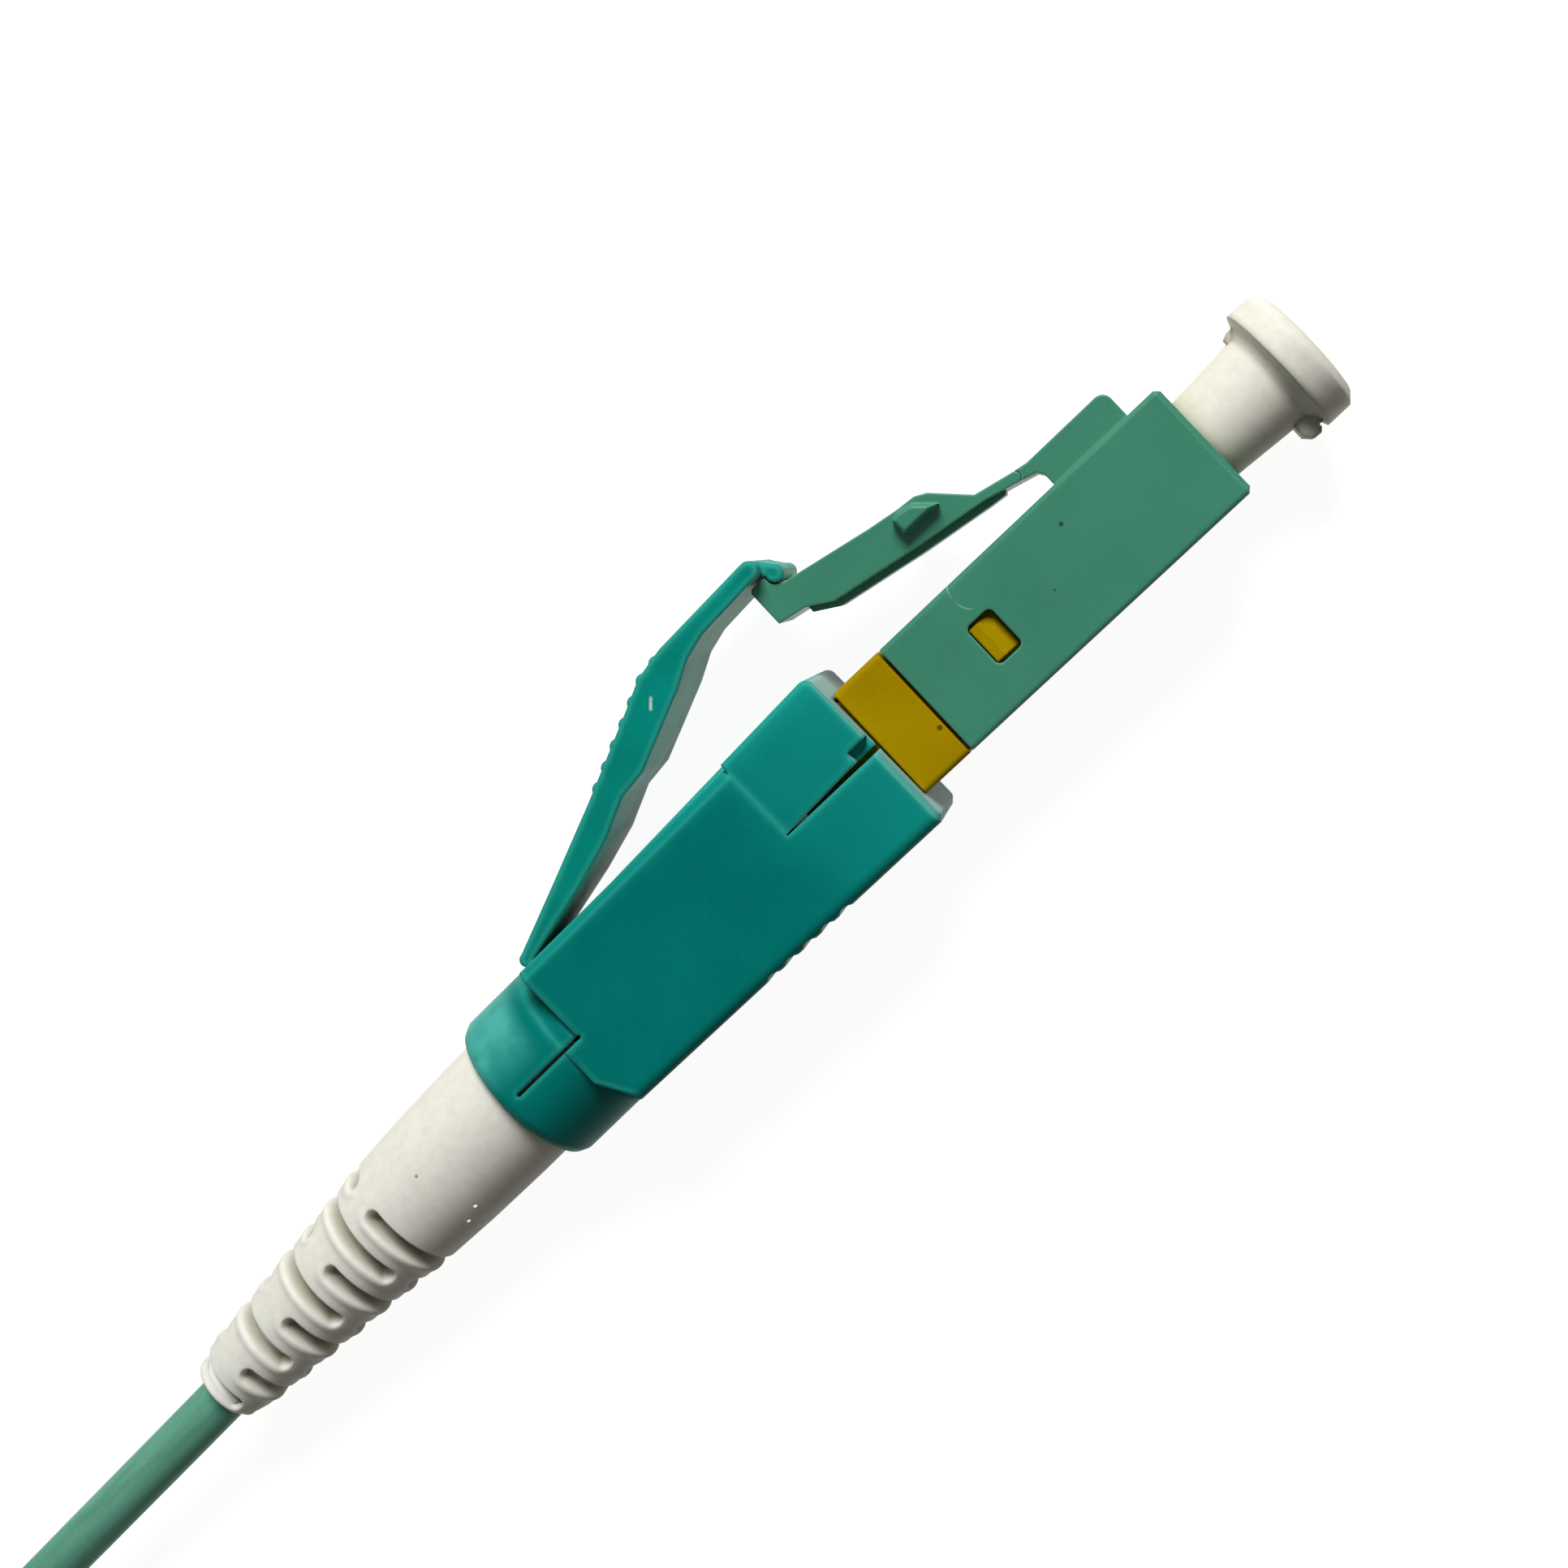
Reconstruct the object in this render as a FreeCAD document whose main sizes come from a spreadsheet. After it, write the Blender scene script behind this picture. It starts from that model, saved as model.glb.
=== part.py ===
# LC simplex fibre connector with a rear trigger clip, a dust cap and a 1.8 mm cord.
#
# Frame: millimetres.  +X runs forward along the ferrule, +Y is the latch side and
# +Z is the side that faces up when the connector lies on the flank of its clip.
# The origin is the middle of the front face of the plug housing, on the ferrule axis.
#
# The plug itself (housing, ferrule, spring, inner body, crimp) is straight along X.
# The trigger clip sits a degree crooked on the inner body, and the soft boot hangs
# a little further still, so both have a Placement of their own.

import FreeCAD, Part
import Sketcher
import math
import os

doc = FreeCAD.newDocument("lc_connector")
sheet = doc.addObject("Spreadsheet::Sheet", "Sizes")


# ----------------------------------------------------------------- sizes
class Size:
    """A number with the spreadsheet expression that drives it."""

    def __init__(self, value, text):
        self.value = float(value)
        self.text = text

    def __add__(self, other):
        return join(self, "+", other, lambda a, b: a + b)

    def __radd__(self, other):
        return join(other, "+", self, lambda a, b: a + b)

    def __sub__(self, other):
        return join(self, "-", other, lambda a, b: a - b)

    def __rsub__(self, other):
        return join(other, "-", self, lambda a, b: a - b)

    def __mul__(self, other):
        return join(self, "*", other, lambda a, b: a * b)

    def __rmul__(self, other):
        return join(other, "*", self, lambda a, b: a * b)

    def __truediv__(self, other):
        return join(self, "/", other, lambda a, b: a / b)

    def __neg__(self):
        return join(-1.0, "*", self, lambda a, b: a * b)


def quantity(item):
    return item if isinstance(item, Size) else Size(item, "(%.6f)" % float(item))


def join(left, sign, right, rule):
    left, right = quantity(left), quantity(right)
    return Size(rule(left.value, right.value), "(%s %s %s)" % (left.text, sign, right.text))


rows = []


def size(alias, value, note):
    """Write one driving dimension into the sheet and give it back."""
    rows.append(alias)
    row = len(rows)
    sheet.set("A%d" % row, note)
    sheet.set("B%d" % row, "%.6g" % value)
    sheet.setAlias("B%d" % row, alias)
    return Size(value, "Sizes.%s" % alias)


# plug housing
housing_side = size("housing_side", 4.5, "outer side of the square housing")
housing_long = size("housing_long", 12.22, "length of the housing")
housing_round = size("housing_round", 0.18, "rounding of the housing edges")
front_bevel = size("front_bevel", 0.17, "bevel round the housing's front face")
nose_bore = size("nose_bore", 3.1, "bore round the ferrule at the front")
nose_depth = size("nose_depth", 3.2, "depth of the front bore")
seat_hole = size("seat_hole", 1.9, "hole in the wall that the ferrule passes")
seat_wall = size("seat_wall", 0.45, "thickness of the wall behind the front bore")
cavity_side = size("cavity_side", 3.6, "square cavity that takes the inner body")
cavity_depth = size("cavity_depth", 4.3, "depth of the square cavity from the rear")
flange_room = size("flange_room", 3.2, "bore in which the ferrule flange slides")
window_long = size("window_long", 1.08, "length of the side window")
window_high = size("window_high", 1.64, "height of the side window")
window_at = size("window_at", 3.05, "distance of the window middle in front of the rear end")
window_round = size("window_round", 0.22, "corner radius of the window")

# latch arm
latch_wide = size("latch_wide", 3.2, "width of the latch arm")
root_top = size("root_top", 3.4, "height of the latch root above the axis")
root_front = size("root_front", 1.25, "latch root, distance behind the front")
root_rear = size("root_rear", 4.45, "end of the gap under the latch arm")
root_round = size("root_round", 0.38, "rounding of the latch root")
flex_at = size("flex_at", 5.2, "flexing line of the latch, behind the front")
flex_high = size("flex_high", 3.32, "flexing line of the latch, above the axis")
flex_thick = size("flex_thick", 0.38, "thickness of the latch arm where it flexes")
latch_long = size("latch_long", 8.92, "flexing line to the end of the latch arm")
latch_rise = size("latch_rise", 3.34, "flexing line to the top of the latch's lip")
lug_wide = size("lug_wide", 4.4, "width over the two latching lugs")
lug_at = size("lug_at", 3.85, "rear face of the lugs behind the flexing line")
lug_long = size("lug_long", 1.49, "length of the lugs")
lug_bevel = size("lug_bevel", 0.12, "bevel round the outer face of each lug")
joint_gap = size("joint_gap", 0.02, "running gap between pieces that turn")

# ferrule and spring
ferrule_wide = size("ferrule_wide", 1.25, "ferrule diameter")
ferrule_out = size("ferrule_out", 2.0, "ferrule tip in front of the housing")
ferrule_long = size("ferrule_long", 6.5, "length of the ferrule")
fibre_wide = size("fibre_wide", 0.125, "diameter of the glass fibre")
flange_wide = size("flange_wide", 2.5, "flange across the flats")
flange_long = size("flange_long", 2.2, "length of the flange")
guide_wide = size("guide_wide", 1.5, "outer diameter of the tube behind the flange")
guide_bore = size("guide_bore", 1.0, "bore of the tube behind the flange")
guide_long = size("guide_long", 8.2, "length of the tube behind the flange")
buffer_wide = size("buffer_wide", 0.9, "diameter of the tight buffer")
wire_wide = size("wire_wide", 0.3, "spring wire diameter")
spring_wide = size("spring_wide", 2.35, "outer diameter of the spring")
spring_turns = size("spring_turns", 7, "turns of the spring")
spring_end = size("spring_end", 0.01, "gap at each end of the spring")

# yellow inner body
body_gap = size("body_gap", 0.13, "gap between housing and inner body")
block_long = size("block_long", 1.98, "length of the block between housing and clip")
block_round = size("block_round", 0.22, "rounding of the block's long edges")
fit_gap = size("fit_gap", 0.05, "clearance of pieces pushed into each other")
front_long = size("front_long", 3.95, "part of the inner body inside the housing")
spring_room = size("spring_room", 2.6, "bore that takes the spring")
spring_floor = size("spring_floor", 0.2, "wall behind the spring")
boss_high = size("boss_high", 1.4, "height of the snap boss")
boss_out = size("boss_out", 0.38, "how far the snap boss stands out")
collar_side = size("collar_side", 3.9, "square collar inside the clip")
collar_long = size("collar_long", 3.2, "length of the square collar")
tail_wide = size("tail_wide", 2.4, "diameter of the crimp tail")
tail_long = size("tail_long", 4.2, "length of the crimp tail")

# crimp and cord entry
sleeve_wide = size("sleeve_wide", 3.4, "outer diameter of the crimp sleeve")
sleeve_wall = size("sleeve_wall", 0.25, "wall of the crimp sleeve")
sleeve_long = size("sleeve_long", 5.6, "length of the wide part of the sleeve")
neck_long = size("neck_long", 3.4, "length of the narrow part of the sleeve")
cord_wide = size("cord_wide", 1.8, "diameter of the cord")
tie_thick = size("tie_thick", 0.3, "thickness of the tie round the coil")
tie_wide = size("tie_wide", 2.0, "width of the tie")

# trigger clip, in the clip's own straight frame
clip_front = size("clip_front", 0.09, "gap between the yellow block and the clip")
clip_long = size("clip_long", 14.1, "length of the clip's square shell")
clip_wide = size("clip_wide", 6.2, "width of the clip, flank to flank")
clip_low = size("clip_low", 3.25, "depth of the clip below the axis at the front")
clip_low_rear = size("clip_low_rear", 3.0, "depth of the clip below the axis at the rear")
clip_top = size("clip_top", 3.27, "height of the clip above the axis at the front")
clip_deck = size("clip_deck", 2.95, "height of the deck under the trigger")
clip_step = size("clip_step", 4.1, "length of the raised front part")
clip_round = size("clip_round", 0.45, "rounding of the clip's long edges")
clip_edge = size("clip_edge", 0.2, "bevel of the clip's front edges")
deck_bevel = size("deck_bevel", 0.3, "bevel along the clip's deck")
clip_tilt = size("clip_tilt", 1.1, "how crooked the clip sits, in degrees")
tongue_deep = size("tongue_deep", 0.1, "how far the front tongue is set back")
ridge_long = size("ridge_long", 6.6, "length of the ridge on the clip's deck")
slit_high = size("slit_high", 0.2, "height of the side slit at its front")
ring_wide = size("ring_wide", 6.1, "outer diameter of the rear ring")
ring_long = size("ring_long", 3.05, "length of the rear ring")
ring_bore = size("ring_bore", 5.24, "bore of the rear ring")
throat_wide = size("throat_wide", 5.94, "diameter of the throat before the ring")
throat_long = size("throat_long", 0.7, "length of the throat")
throat_wall = size("throat_wall", 0.35, "wall of the throat")
ring_floor = size("ring_floor", 0.4, "front wall of the rear ring")
slot_thin = size("slot_thin", 0.12, "width of the slit in the ring")
grip_pitch = size("grip_pitch", 0.83, "pitch of the grip grooves")
grip_deep = size("grip_deep", 0.13, "depth of the grip grooves")
ridge_wide = size("ridge_wide", 3.8, "width of the ridge under the trigger")

# trigger
trigger_wide = size("trigger_wide", 4.6, "width of the trigger")
trigger_back = size("trigger_back", 0.35, "trigger hinge in front of the clip's rear edge")
trigger_high = size("trigger_high", 0.17, "trigger hinge above the deck")
trigger_root = size("trigger_root", 0.5, "thickness of the trigger at its hinge")
head_round = size("head_round", 0.33, "radius of the trigger's rounded head")
bead_round = size("bead_round", 0.3, "radius of the bead that presses the latch")
bead_gap = size("bead_gap", 0.06, "room of the bead in the latch's notch")
rib_round = size("rib_round", 0.28, "radius of a thumb rib")
rib_out = size("rib_out", 0.07, "how far the thumb ribs stand out")

# boot
boot_wide = size("boot_wide", 5.04, "diameter of the boot behind the ring")
boot_gap = size("boot_gap", 0.1, "room round the boot inside the clip")
boot_long = size("boot_long", 16.1, "length of the boot outside the ring")
boot_inside = size("boot_inside", 7.2, "length of the boot inside the clip")
boot_bore = size("boot_bore", 2.3, "bore for the cord")
boot_room = size("boot_room", 3.95, "bore over the crimp sleeve")
boot_room_long = size("boot_room_long", 4.0, "depth of the bore over the crimp sleeve")
boot_end = size("boot_end", 2.9, "diameter of the boot at its rear end")
boot_tilt = size("boot_tilt", 1.8, "how far the boot hangs, in degrees")
slot_wide = size("slot_wide", 0.36, "width of a bend slot")
slot_pitch = size("slot_pitch", 2.6, "pitch of the bend slots of one row")
slot_first = size("slot_first", 6.33, "first bend slot behind the ring")
slot_shift = size("slot_shift", 1.4, "how far the second row lies behind the first")
slot_plain = size("slot_plain", 0.45, "least length without slots at the rear end")
slot_open = size("slot_open", 133, "angle that a bend slot spans, in degrees")
slot_lean = size("slot_lean", 61.5, "how far the slots' middle leans from the latch side")

# dust cap
cap_wide = size("cap_wide", 3.18, "cap diameter at the housing")
cap_wide_far = size("cap_wide_far", 3.56, "cap diameter before its flange")
cap_stem = size("cap_stem", 2.85, "length of the cap's stem outside the housing")
cap_long = size("cap_long", 4.45, "length of the cap outside the housing")
cap_flange = size("cap_flange", 4.84, "diameter of the cap's flange")
cap_room = size("cap_room", 0.6, "room in the cap beyond the ferrule's tip")
cap_bore = size("cap_bore", 1.32, "bore of the cap over the ferrule")
seat_gap = size("seat_gap", 0.03, "gap between the cap's shoulder and the housing")
cap_inside = size("cap_inside", 2.6, "length of the cap inside the housing")
cap_lug_wide = size("cap_lug_wide", 1.2, "width of the lug under the cap's flange")
cap_nub_wide = size("cap_nub_wide", 0.7, "width of the nub on the cap")
doc.recompute()


# ----------------------------------------------------------------- helpers
def bind(item, name, amount):
    """Set a property and bind it to the sheet."""
    amount = quantity(amount)
    setattr(item, name, amount.value)
    if "Sizes." in amount.text:
        item.setExpression(name, amount.text)


def new_body(label):
    body = doc.addObject("PartDesign::Body", label)
    body.Label = label
    return body


def new_sketch(body, name, role, shift=0.0):
    """A sketch on one of the body's origin planes, moved along its normal."""
    sketch = body.newObject("Sketcher::SketchObject", name)
    plane = [f for f in body.Origin.OriginFeatures if f.Role == role][0]
    sketch.AttachmentSupport = [(plane, "")]
    sketch.MapMode = "FlatFace"
    shift = quantity(shift)
    sketch.AttachmentOffset = FreeCAD.Placement(FreeCAD.Vector(0, 0, shift.value),
                                                FreeCAD.Rotation())
    if "Sizes." in shift.text:
        sketch.setExpression("AttachmentOffset.Base.z", shift.text)
    return sketch


def fix(sketch, kind, where, amount):
    amount = quantity(amount)
    number = sketch.addConstraint(Sketcher.Constraint(kind, *(where + (amount.value,))))
    if "Sizes." in amount.text:
        sketch.setExpression("Constraints[%d]" % number, amount.text)


def polygon(sketch, corners):
    """A closed outline through the corners, each corner tied to the sheet."""
    corners = [(quantity(a), quantity(b)) for a, b in corners]
    first = sketch.GeometryCount
    total = len(corners)
    for k in range(total):
        a, b = corners[k], corners[(k + 1) % total]
        sketch.addGeometry(Part.LineSegment(FreeCAD.Vector(a[0].value, a[1].value, 0),
                                            FreeCAD.Vector(b[0].value, b[1].value, 0)), False)
    for k in range(total):
        sketch.addConstraint(Sketcher.Constraint("Coincident", first + k, 2,
                                                 first + (k + 1) % total, 1))
    for k, (a, b) in enumerate(corners):
        fix(sketch, "DistanceX", (first + k, 1), a)
        fix(sketch, "DistanceY", (first + k, 1), b)


def corners_of(outline):
    """The outline without repeated points and without points in line with their neighbours."""
    spots = [FreeCAD.Vector(quantity(a).value, quantity(b).value, 0) for a, b in outline]
    apart = [k for k in range(len(spots)) if (spots[k] - spots[k - 1]).Length > 1e-6]
    kept = []
    for n, k in enumerate(apart):
        back = spots[k] - spots[apart[n - 1]]
        ahead = spots[apart[(n + 1) % len(apart)]] - spots[k]
        if back.cross(ahead).Length > 1e-6:
            kept.append(outline[k])
    return kept


def rectangle(sketch, x0, x1, y0, y1):
    polygon(sketch, [(x0, y0), (x1, y0), (x1, y1), (x0, y1)])


def circle(sketch, x, y, radius):
    x, y, radius = quantity(x), quantity(y), quantity(radius)
    number = sketch.addGeometry(Part.Circle(FreeCAD.Vector(x.value, y.value, 0),
                                            FreeCAD.Vector(0, 0, 1), radius.value), False)
    fix(sketch, "Radius", (number,), radius)
    fix(sketch, "DistanceX", (number, 3), x)
    fix(sketch, "DistanceY", (number, 3), y)


def feature(body, kind, name, sketch, **values):
    item = body.newObject("PartDesign::" + kind, name)
    item.Profile = sketch
    sketch.Visibility = False
    for key, amount in values.items():
        if isinstance(amount, (bool, str)):
            setattr(item, key, amount)
        else:
            bind(item, key, amount)
    doc.recompute()
    return item


def pad(body, name, sketch, length, middle=False, back=False):
    return feature(body, "Pad", name, sketch, Length=length, Midplane=middle, Reversed=back)


def pocket(body, name, sketch, length, middle=False, back=False):
    before = body.Shape.Volume
    item = feature(body, "Pocket", name, sketch, Length=length, Midplane=middle, Reversed=back)
    if not body.Shape.Volume < before - 1e-9:
        raise RuntimeError("%s cuts nothing" % name)
    return item


def turned(body, name, sketch, kind="Revolution"):
    """Turn a sketch on the XY plane about the X axis."""
    item = body.newObject("PartDesign::" + kind, name)
    item.Profile = sketch
    item.ReferenceAxis = (sketch, ["H_Axis"])
    item.Angle = 360.0
    sketch.Visibility = False
    doc.recompute()
    return item


def round_edges(body, name, radius, test, kind="Fillet", setting="Radius"):
    """Fillet or chamfer the edges whose middle and direction pass the test."""
    names = []
    for number, edge in enumerate(body.Tip.Shape.Edges, 1):
        if edge.Degenerated:
            continue
        low, high = edge.ParameterRange
        middle = edge.valueAt((low + high) / 2)
        run = edge.tangentAt((low + high) / 2)
        if test(middle, run, edge):
            names.append("Edge%d" % number)
    if not names:
        raise RuntimeError("%s finds no edge" % name)
    base = body.Tip
    item = body.newObject("PartDesign::" + kind, name)
    item.Base = (base, names)
    bind(item, setting, radius)
    doc.recompute()
    return item


def bevel_edges(body, name, width, test):
    return round_edges(body, name, width, test, "Chamfer", "Size")


def along(run, axis):
    return abs(getattr(run, axis)) > 0.999


def near(a, b, gap=0.02):
    return abs(a - quantity(b).value) < gap


def tilted(item, pivot, degrees):
    """Turn a body about Z through a pivot point on the connector."""
    turn = FreeCAD.Rotation(FreeCAD.Vector(0, 0, 1), degrees)
    middle = FreeCAD.Vector(*pivot)
    item.Placement = FreeCAD.Placement(middle - turn.multVec(middle), turn)


half = housing_side / 2
window_x = window_at - housing_long
block_front = -housing_long - body_gap
block_rear = block_front - block_long
clip_at = clip_front - block_rear

# ----------------------------------------------------------------- plug housing
housing = new_body("plug_housing")
shape = new_sketch(housing, "housing_outline", "YZ_Plane", -housing_long)
rectangle(shape, -half, half, -half, half)
pad(housing, "housing_block", shape, housing_long)
round_edges(housing, "housing_edges", housing_round, lambda m, run, e: along(run, "x"))
bevel_edges(housing, "front_bevel", front_bevel, lambda m, run, e: near(m.x, 0))

shape = new_sketch(housing, "root_outline", "XY_Plane")
polygon(shape, [(-root_front, half - 0.3), (-root_front, root_top),
                (-(root_rear + 0.15), root_top), (-flex_at, flex_high + flex_thick / 2),
                (-flex_at, flex_high - flex_thick / 2), (-(root_rear + 0.15), flex_high - 0.36),
                (-root_rear, flex_high - 0.6), (-root_rear, half - 0.3)])
pad(housing, "latch_root", shape, latch_wide, middle=True)
round_edges(housing, "root_rounding", root_round,
            lambda m, run, e: along(run, "z") and near(m.x, -root_front) and near(m.y, root_top))
shape = new_sketch(housing, "flex_outline", "XY_Plane")
circle(shape, -flex_at, flex_high, flex_thick / 2 + joint_gap)
pocket(housing, "flex_seat", shape, latch_wide + 0.2, middle=True)

shape = new_sketch(housing, "nose_outline", "YZ_Plane")
circle(shape, 0, 0, nose_bore / 2)
pocket(housing, "nose_bore_cut", shape, nose_depth)
shape = new_sketch(housing, "seat_outline", "YZ_Plane")
circle(shape, 0, 0, seat_hole / 2)
pocket(housing, "seat_cut", shape, nose_depth + seat_wall + 0.1)
shape = new_sketch(housing, "flange_room_outline", "YZ_Plane", -(nose_depth + seat_wall))
circle(shape, 0, 0, flange_room / 2)
pocket(housing, "flange_room_cut", shape, housing_long - nose_depth - seat_wall)
shape = new_sketch(housing, "cavity_outline", "YZ_Plane", -(housing_long - cavity_depth))
rectangle(shape, -cavity_side / 2, cavity_side / 2, -cavity_side / 2, cavity_side / 2)
pocket(housing, "cavity_cut", shape, cavity_depth)
shape = new_sketch(housing, "window_outline", "XY_Plane")
rectangle(shape, window_x - window_long / 2, window_x + window_long / 2,
          -window_high / 2, window_high / 2)
pocket(housing, "window_cut", shape, housing_side + 0.2, middle=True)
round_edges(housing, "window_corners", window_round,
            lambda m, run, e: along(run, "z") and near(abs(m.x - window_x.value), window_long / 2)
            and near(abs(m.y), window_high / 2))

# ----------------------------------------------------------------- latch arm
arm = new_body("latch_arm")
thin = flex_thick / 2


def on_arm(share, height):
    """A point of the arm: shares of its length and of its rise above the flexing line."""
    return (-(flex_at + latch_long * share), flex_high + latch_rise * height)


arm_top = [(0.15, 0.15), (0.27, 0.485), (0.314, 0.548), (0.392, 0.569), (0.516, 0.626),
           (0.881, 0.832), (0.919, 1.0), (0.987, 1.0), (1.0, 0.964)]
arm_under = [(1.0, 0.563), (0.888, 0.503), (0.796, 0.35), (0.437, 0.168), (0.141, 0.042)]
shape = new_sketch(arm, "arm_outline", "XY_Plane")
polygon(shape, [(-flex_at, flex_high + thin)] + [on_arm(*spot) for spot in arm_top + arm_under]
        + [(-flex_at, flex_high - thin)])
pad(arm, "arm_strip", shape, latch_wide, middle=True)
shape = new_sketch(arm, "lug_outline", "XY_Plane")
polygon(shape, [(-(flex_at + lug_at - lug_long * share), flex_high + latch_rise * height)
                for share, height in ((0.0, 0.329), (0.0, 0.515), (0.18, 0.542), (0.557, 0.509),
                                      (1.0, 0.323))])
pad(arm, "arm_lugs", shape, lug_wide, middle=True)
bevel_edges(arm, "lug_edges", lug_bevel, lambda m, run, e: near(abs(m.z), lug_wide / 2))
shape = new_sketch(arm, "knuckle_outline", "XY_Plane")
circle(shape, -flex_at, flex_high, thin)
pad(arm, "arm_knuckle", shape, latch_wide, middle=True)

# where the bead of the trigger rests in the arm's notch
bead_x, bead_y = on_arm(0.8823, 0.958)
shape = new_sketch(arm, "notch_outline", "XY_Plane")
circle(shape, bead_x, bead_y, bead_round + bead_gap)
pocket(arm, "arm_notch", shape, lug_wide, middle=True)

# ----------------------------------------------------------------- ferrule, flange, fibre, buffer
ferrule = new_body("ferrule")
rear = ferrule_out - ferrule_long
shape = new_sketch(ferrule, "ferrule_outline", "XY_Plane")
polygon(shape, [(ferrule_out, fibre_wide / 2), (ferrule_out, ferrule_wide / 2 - 0.15),
                (ferrule_out - 0.2, ferrule_wide / 2), (rear, ferrule_wide / 2),
                (rear, fibre_wide / 2)])
turned(ferrule, "ferrule_turned", shape)

flange = new_body("ferrule_flange")
flange_front = -(nose_depth + seat_wall)
flange_rear = flange_front - flange_long
shape = new_sketch(flange, "flange_outline", "YZ_Plane", flange_rear)
corner = flange_wide / 1.7320508
polygon(shape, [(corner * math.cos(math.radians(60 * k)), corner * math.sin(math.radians(60 * k)))
                for k in range(6)])
pad(flange, "flange_hexagon", shape, flange_long)
shape = new_sketch(flange, "guide_outline", "YZ_Plane", flange_rear - guide_long)
circle(shape, 0, 0, guide_wide / 2)
pad(flange, "guide_tube", shape, guide_long + flange_long / 2)
shape = new_sketch(flange, "ferrule_seat", "YZ_Plane", flange_front)
circle(shape, 0, 0, ferrule_wide / 2)
pocket(flange, "ferrule_seat_cut", shape, flange_front - rear)
shape = new_sketch(flange, "guide_bore_outline", "YZ_Plane", flange_front)
circle(shape, 0, 0, guide_bore / 2)
pocket(flange, "guide_bore_cut", shape, flange_long + guide_long + 0.5)

tail_end = block_rear - collar_long - tail_long
fibre = doc.addObject("Part::Cylinder", "optical_fibre")
fibre.Label = "optical_fibre"
bind(fibre, "Radius", fibre_wide / 2)
bind(fibre, "Height", ferrule_long + 0.3)
fibre.Placement = FreeCAD.Placement(FreeCAD.Vector(rear.value - 0.3, 0, 0),
                                    FreeCAD.Rotation(FreeCAD.Vector(0, 1, 0), 90))
fibre.setExpression("Placement.Base.x", (rear - 0.3).text)

# ----------------------------------------------------------------- inner body
inner = new_body("inner_body")
front = block_front + front_long
side = cavity_side / 2 - fit_gap
shape = new_sketch(inner, "front_outline", "YZ_Plane", block_front)
rectangle(shape, -side, side, -side, side)
pad(inner, "inner_front", shape, front_long)
shape = new_sketch(inner, "boss_outline", "XZ_Plane")
reach = side + boss_out
boss_rear = window_x - window_long / 2 + fit_gap
boss_front = window_x + window_long / 2 - fit_gap
polygon(shape, [(boss_rear, -reach), (boss_rear, reach), (boss_rear + 0.35, reach),
                (boss_front, side + 0.08), (boss_front, -(side + 0.08)),
                (boss_rear + 0.35, -reach)])
pad(inner, "inner_boss", shape, boss_high, middle=True)
shape = new_sketch(inner, "block_outline", "YZ_Plane", block_rear)
rectangle(shape, -half, half, -half, half)
pad(inner, "inner_block", shape, block_long)
round_edges(inner, "block_edges", block_round,
            lambda m, run, e: along(run, "x") and near(abs(m.y), half) and near(abs(m.z), half))
shape = new_sketch(inner, "collar_outline", "YZ_Plane", block_rear - collar_long)
rectangle(shape, -collar_side / 2, collar_side / 2, -collar_side / 2, collar_side / 2)
pad(inner, "inner_collar", shape, collar_long + 0.1)
shape = new_sketch(inner, "tail_outline", "YZ_Plane", tail_end)
circle(shape, 0, 0, tail_wide / 2)
pad(inner, "inner_tail", shape, tail_long + 0.1)
shape = new_sketch(inner, "room_outline", "YZ_Plane", front)
circle(shape, 0, 0, spring_room / 2)
pocket(inner, "spring_room_cut", shape, front_long - spring_floor)
shape = new_sketch(inner, "inner_bore_outline", "YZ_Plane", front)
circle(shape, 0, 0, guide_wide / 2 + fit_gap)
pocket(inner, "inner_bore", shape, front_long + body_gap + block_long + collar_long + tail_long)
shape = new_sketch(inner, "flex_slot_outline", "XZ_Plane")
rectangle(shape, front - 3.0, front + 0.1, -0.3, 0.3)
pocket(inner, "flex_slots", shape, cavity_side + 0.2, middle=True)

# ----------------------------------------------------------------- spring
# six-sided wire along short chords of the helix
coil_radius = (spring_wide - wire_wide) / 2
spring_front = flange_rear - wire_wide / 2 - spring_end
spring_rear = block_front + spring_floor + wire_wide / 2 + spring_end
run = spring_front.value - spring_rear.value
chords = int(round(6 * spring_turns.value))
path = []
for k in range(chords + 1):
    turned_by = 2 * math.pi * spring_turns.value * k / chords
    path.append(FreeCAD.Vector(run * k / chords, coil_radius.value * math.cos(turned_by),
                               coil_radius.value * math.sin(turned_by)))
wire = Part.makePolygon(path)
start_way = path[1] - path[0]
start_way.normalize()
side_way = start_way.cross(FreeCAD.Vector(1, 0, 0))
side_way.normalize()
third_way = start_way.cross(side_way)
ring = Part.makePolygon([path[0] + (side_way * math.cos(math.radians(60 * k))
                                    + third_way * math.sin(math.radians(60 * k)))
                         * (wire_wide.value / 2) for k in range(7)])
coil = Part.Wire(wire).makePipeShell([ring], True, False, 1)
spring = doc.addObject("Part::Feature", "spring")
spring.Label = "spring"
spring.Shape = Part.Solid(coil) if coil.ShapeType == "Shell" else coil
spring.Placement = FreeCAD.Placement(FreeCAD.Vector(spring_rear.value, 0, 0), FreeCAD.Rotation())

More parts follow.
